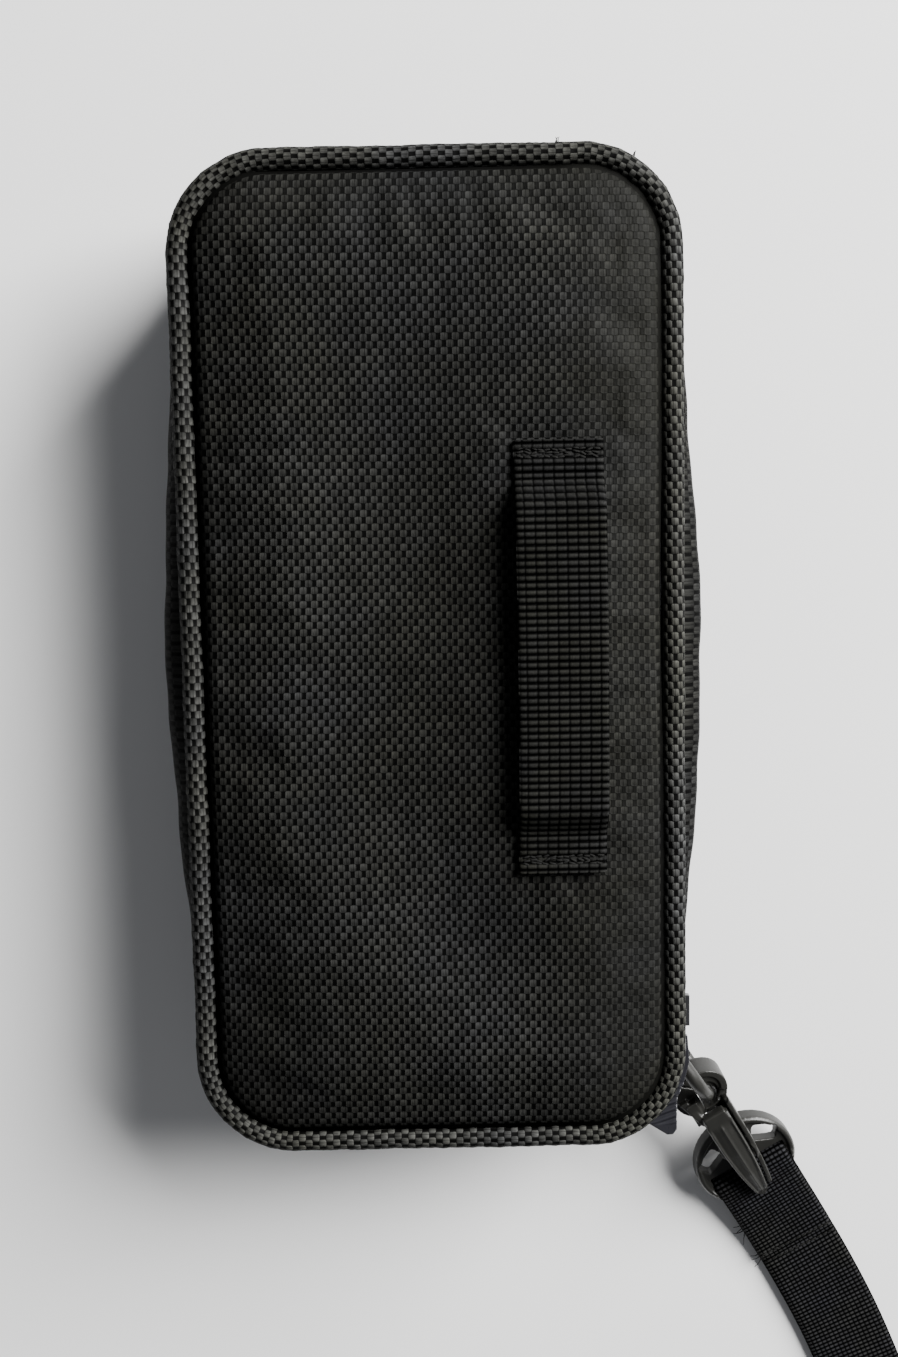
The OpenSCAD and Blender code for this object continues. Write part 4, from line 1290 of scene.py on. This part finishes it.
def hook_shape(p):
    u, v, w = to_hook(p).T
    r = np.hypot(u, v)
    head = (r < 6.9) & (u < 6)
    # moulded steps round the head, and a shallow triangular recess on its right lobe
    up = smooth((w - 1.6) / 1.0)
    w = w - up * head * 0.55 * smooth((5.0 - r) / 0.5)
    tri = smooth((2.1 - np.abs(u - 3.4) - 0.8 * np.abs(v - 3.4)) / 0.5)
    w = w - 0.6 * tri * up
    u = np.where(u < 0, u * 0.84, u)
    r2 = np.hypot(u - HUB_U, v)
    w = w + 0.25 * np.exp(-((r2 - 3.9) / 0.4) ** 2) * smooth((w - 2.0) / 0.5)
    return from_hook(np.stack([u, v, w], 1))


def lever_shape(p):
    """A ridge down the lever's middle, hollows beside it and a raised lip along both edges."""
    u, v, w = to_hook(p).T
    u = np.where((u < 0) & (w < 3.4), u * 0.84, u)
    top = smooth((w - 5.0) / 1.2) * smooth((u - 7.5) / 2) * smooth((35.5 - u) / 2)
    w = w + top * (0.5 * np.exp(-np.abs(v + 0.3) / 0.55) - 0.35 * smooth((np.abs(v + 0.3) - 1.0) / 2.2))
    half = np.where(u < 12, 3.4, 3.4 - 2.0 * ((u - 12) / 24) ** 2)
    w = w + top * 0.45 * np.exp(-((half - np.abs(v + 0.3) - 0.45) / 0.3) ** 2)
    return from_hook(np.stack([u, v, w], 1))


def loop_shape(p):
    """A raised rim round the loop and a collar round its hub, on both faces."""
    u, v, w = to_hook(p).T
    side = np.sign(w + 0.25)
    r = np.hypot(u - HUB_U - 6.4, v)
    face = smooth((np.abs(w + 0.25) - 0.8) / 0.5)
    rim = smooth((r - 11.1) / 0.7) - 0.7 * smooth((r - 12.3) / 0.7)
    hub = np.exp(-((np.hypot(u - HUB_U, v) - 3.9) / 0.75) ** 2)
    w = w + side * face * (0.75 * rim + 0.5 * hub)
    return from_hook(np.stack([u, v, w], 1))


moulded("hook_frame", "hook_body", 0.2, 7, hard_mat, "hardware_plastic", "hook", hook_shape, eye_lumps())
moulded("gate_lever", "hook_lever", 0.18, 9, hard_mat, "hardware_plastic", "lever", lever_shape, gate_lumps())
moulded("swivel_loop", "swivel_loop_body", 0.22, 7, hard_mat, "hardware_plastic", "loop", loop_shape)
moulded("slider_body", "zipper_slider", 0.13, 4, lacquer_mat, "slider_metal", "slider")
moulded("pull_link", "zipper_link", 0.13, 5, lacquer_mat, "slider_metal", "link")


def pull_shape(p):
    """Slanting grip ridges on both faces of the pull."""
    x, y, z = p.T
    side = np.sign(z - ZIP_Z)
    face = smooth((np.abs(z - ZIP_Z) - 0.35) / 0.2)
    grip = smooth((-101.5 - y) / 1.0) * smooth((y + 112.6) / 1.0)
    z = z + side * face * grip * 0.22 * np.cos(2 * np.pi * (y - 0.35 * x) / 1.7)
    return np.stack([x, y, z], 1)


moulded("pull_tab", "zipper_pull", 0.13, 5, pull_mat, "pull_plastic", "pull", pull_shape)

# ---------------------------------------------------------------- hand strap
STRAP_BAR = np.array((77.8651, -134.7471, 5.2149))
STRAP_DIR = heading(-60)
STRAP_SIDE = np.array((-STRAP_DIR[1], STRAP_DIR[0]))
STRAP_T, STRAP_RUN, WRAP_R = 1.3, 150.0, 1.9 + 0.12 + 0.65
STRAP_W, FOLD_AT = 20.8, 25.0
LOW_Z = STRAP_T / 2 + 0.1
HIGH_Z = LOW_Z + STRAP_T + 0.1


def strap_drift(s):
    """Sideways bend of the strap at a distance from its bar."""
    return np.where(s > 0, 0.00114 * s ** 2, 0) - 1.9 * smooth(s / 55)


def strap():
    """One length of webbing: round the loop's bar, out along the table, and back under itself."""
    bz = STRAP_BAR[2]
    pts = [(24, LOW_Z), (16, LOW_Z + 0.05), (10, LOW_Z + 0.35), (5, LOW_Z + 1.0)]
    wrap = np.radians(-75 - 195 * np.arange(17) / 16)
    pts += [(WRAP_R * math.cos(a), bz + WRAP_R * math.sin(a)) for a in wrap]
    pts += [(2.6, bz + 2.0), (5, bz + 1.1), (10, HIGH_Z + 2.1), (16, HIGH_Z + 0.8), (22, HIGH_Z + 0.1)]
    pts += [(30 + 10 * k, HIGH_Z) for k in range(13)]
    far_turn, mid_z = np.radians(90 - 30 * np.arange(1, 6)), (LOW_Z + HIGH_Z) / 2
    pts += [(STRAP_RUN + 0.75 * math.cos(a), mid_z + 0.7 * math.sin(a)) for a in far_turn]
    pts += [(STRAP_RUN - 10 * k, LOW_Z) for k in range(13)] + [(26, LOW_Z)]
    p = np.array(pts, float)
    t = closed_steps(p)[:-1]
    fine = np.arange(0, t[-1], 0.62)
    q = np.stack([np.interp(fine, t, p[:, k]) for k in (0, 1)], 1)
    for _ in range(3):
        q[1:-1] = 0.25 * q[:-2] + 0.5 * q[1:-1] + 0.25 * q[2:]
    d = unit(np.gradient(q, axis=0))
    s0 = q[:, 0]
    drift = strap_drift(s0)
    slope = strap_drift(s0 + 0.5) - strap_drift(s0 - 0.5)
    nn = np.sqrt(1 + slope ** 2)
    on_top = (fine > 40) & (fine < 190)
    ripple = np.where(on_top, 0.12 * wobble(s0, 61, 141), 0.0)

    def place(across, up):
        up = up + (ripple * smooth(np.minimum(fine - 40, 190 - fine) / 10))[:, None]
        s = s0[:, None] - up * d[:, 1:]
        z = q[:, 1:] + up * d[:, :1]
        along = s + across[None] * (slope / nn)[:, None]
        side = -drift[:, None] + across[None] / nn[:, None]
        xy = STRAP_BAR[:2] + along[..., None] * STRAP_DIR + side[..., None] * STRAP_SIDE
        return np.concatenate([xy, z[..., None]], -1)
    turned = on_top & (s0 < 60)

    def fold(_, x):
        """The turned-back end lies on top, up to a sewn edge a little askew."""
        edge = smooth((FOLD_AT - s0[:, None] + 0.06 * x) / 0.9)
        return 0.6 * edge * (turned & (s0 > 5))[:, None] * smooth((s0[:, None] - 5) / 5)
    mesh = webbing("hand_strap", place, 33, fine, 1.05, 1.2, STRAP_T, STRAP_W, 0.0, fold)
    obj = link("hand_strap", mesh, "strap", strap_mat, "strap_webbing", ["strap_webbing"])
    flat = (STRAP_W / 1000, round(float(fine[-1]) / 1000, 3))
    rows, ways = [], []
    for s, lift in ((FOLD_AT - 1.6, 0.6), (FOLD_AT + 0.9, 0.0)):
        for k in range(12):
            a = -8.8 + 1.6 * k
            at = STRAP_BAR[:2] + (s + 0.06 * a) * STRAP_DIR + (a - strap_drift(s)) * STRAP_SIDE
            rows.append((*at, HIGH_Z + 0.55 + lift))
            ways.append((*STRAP_SIDE, 0))
    st = stitches("strap_thread", rows, ways, np.tile((0, 0, 1), (len(rows), 1)), 2.0, 0.24, 0.3)
    link(st.name, st, "strap", black_thread_mat, "thread", ["strap_stitches"])


strap()


def loose_threads(name, body, roots):
    """Short frayed thread ends: (x, y, z, heading in degrees, length)."""
    gen, r = np.random.default_rng(151), 0.13
    verts, faces = [], []
    for x, y, z, turn, length in roots:
        a, rise = math.radians(turn), gen.uniform(0.1, 0.5)
        p, path = np.array((x, y, z), float), []
        for k in range(9):
            path.append(p.copy())
            a += gen.uniform(-0.22, 0.22)
            p += np.array((math.cos(a), math.sin(a), rise - 0.09 * k)) * length / 8
            p[2] = max(p[2], r)
        path = np.array(path)
        side, up = frames_along(path, (0, 0, 1))
        faces += tube_faces(len(verts), 9, 5)
        for i in range(9):
            for b in 2 * math.pi * np.arange(5) / 5:
                verts.append(path[i] + (side[i] * math.cos(b) + up[i] * math.sin(b)) * r * (1 - 0.06 * i))
    link(name, mesh_from(name, verts, faces), body, black_thread_mat, "thread")


fray = []
for s, count in ((14.0, 4), (23.0, 3)):
    for k in range(count):
        x, y = STRAP_BAR[:2] + (s + 0.5 * k) * STRAP_DIR - (STRAP_W / 2 - 0.3 + strap_drift(s)) * STRAP_SIDE
        fray.append((x, y, 1.6 + 0.3 * k, 195 + 20 * k, 2.2 + 0.4 * k))
loose_threads("strap_fray", "strap", fray)
loose_threads("piping_fray", "back_shell",
              [(28.0 + 0.3 * k, 109.9, 46.2, 60 + 25 * k, 1.1) for k in range(3)] +
              [(44.0 + 0.3 * k, 106.6, 46.2, 40 + 25 * k, 1.2) for k in range(3)])


# ---------------------------------------------------------------- stage
FLOOR_HALF = 1500
corners = [(-FLOOR_HALF, -FLOOR_HALF, 0), (FLOOR_HALF, -FLOOR_HALF, 0), (FLOOR_HALF, FLOOR_HALF, 0),
           (-FLOOR_HALF, FLOOR_HALF, 0)]
floor = bpy.data.objects.new("table", mesh_from("table", corners, [(0, 1, 2, 3)], smooth=False))
bpy.context.scene.collection.objects.link(floor)
table_mat, t, b = material("pale_table")
pale = [(0.3, (0.79, 0.79, 0.79)), (0.7, (0.82, 0.82, 0.82))]
put(t, b.inputs["Base Color"], ramp(t, noise(t, position(t), 6.0, 4.0), pale))
b.inputs["Roughness"].default_value = 0.6
floor.data.materials.append(table_mat)
floor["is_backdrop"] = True

world = bpy.data.worlds.new("soft_room")
bpy.context.scene.world = world
world.use_nodes = True
background = world.node_tree.nodes["Background"]
background.inputs[0].default_value = (0.93, 0.95, 1.0, 1)
background.inputs[1].default_value = 0.13


def area_light(name, place, target, size, power, color=(1, 1, 1)):
    data = bpy.data.lights.new(name, "AREA")
    data.shape = "RECTANGLE"
    data.size, data.size_y = size
    data.energy = power
    data.color = color
    obj = bpy.data.objects.new(name, data)
    bpy.context.scene.collection.objects.link(obj)
    obj.location = place
    obj.rotation_euler = (Vector(target) - Vector(place)).to_track_quat("-Z", "Y").to_euler()


area_light("window", (1.25, 0.85, 1.02), (0, 0, 0), (1.1, 1.3), 165, (1.0, 0.997, 0.99))
area_light("room_fill", (-1.2, -0.6, 2.0), (0, 0, 0), (2.0, 2.0), 2.5, (0.95, 0.97, 1.0))

size_after = [list(map(float, corner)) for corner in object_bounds()]
{"cad": cad_box, "visual": size_after}
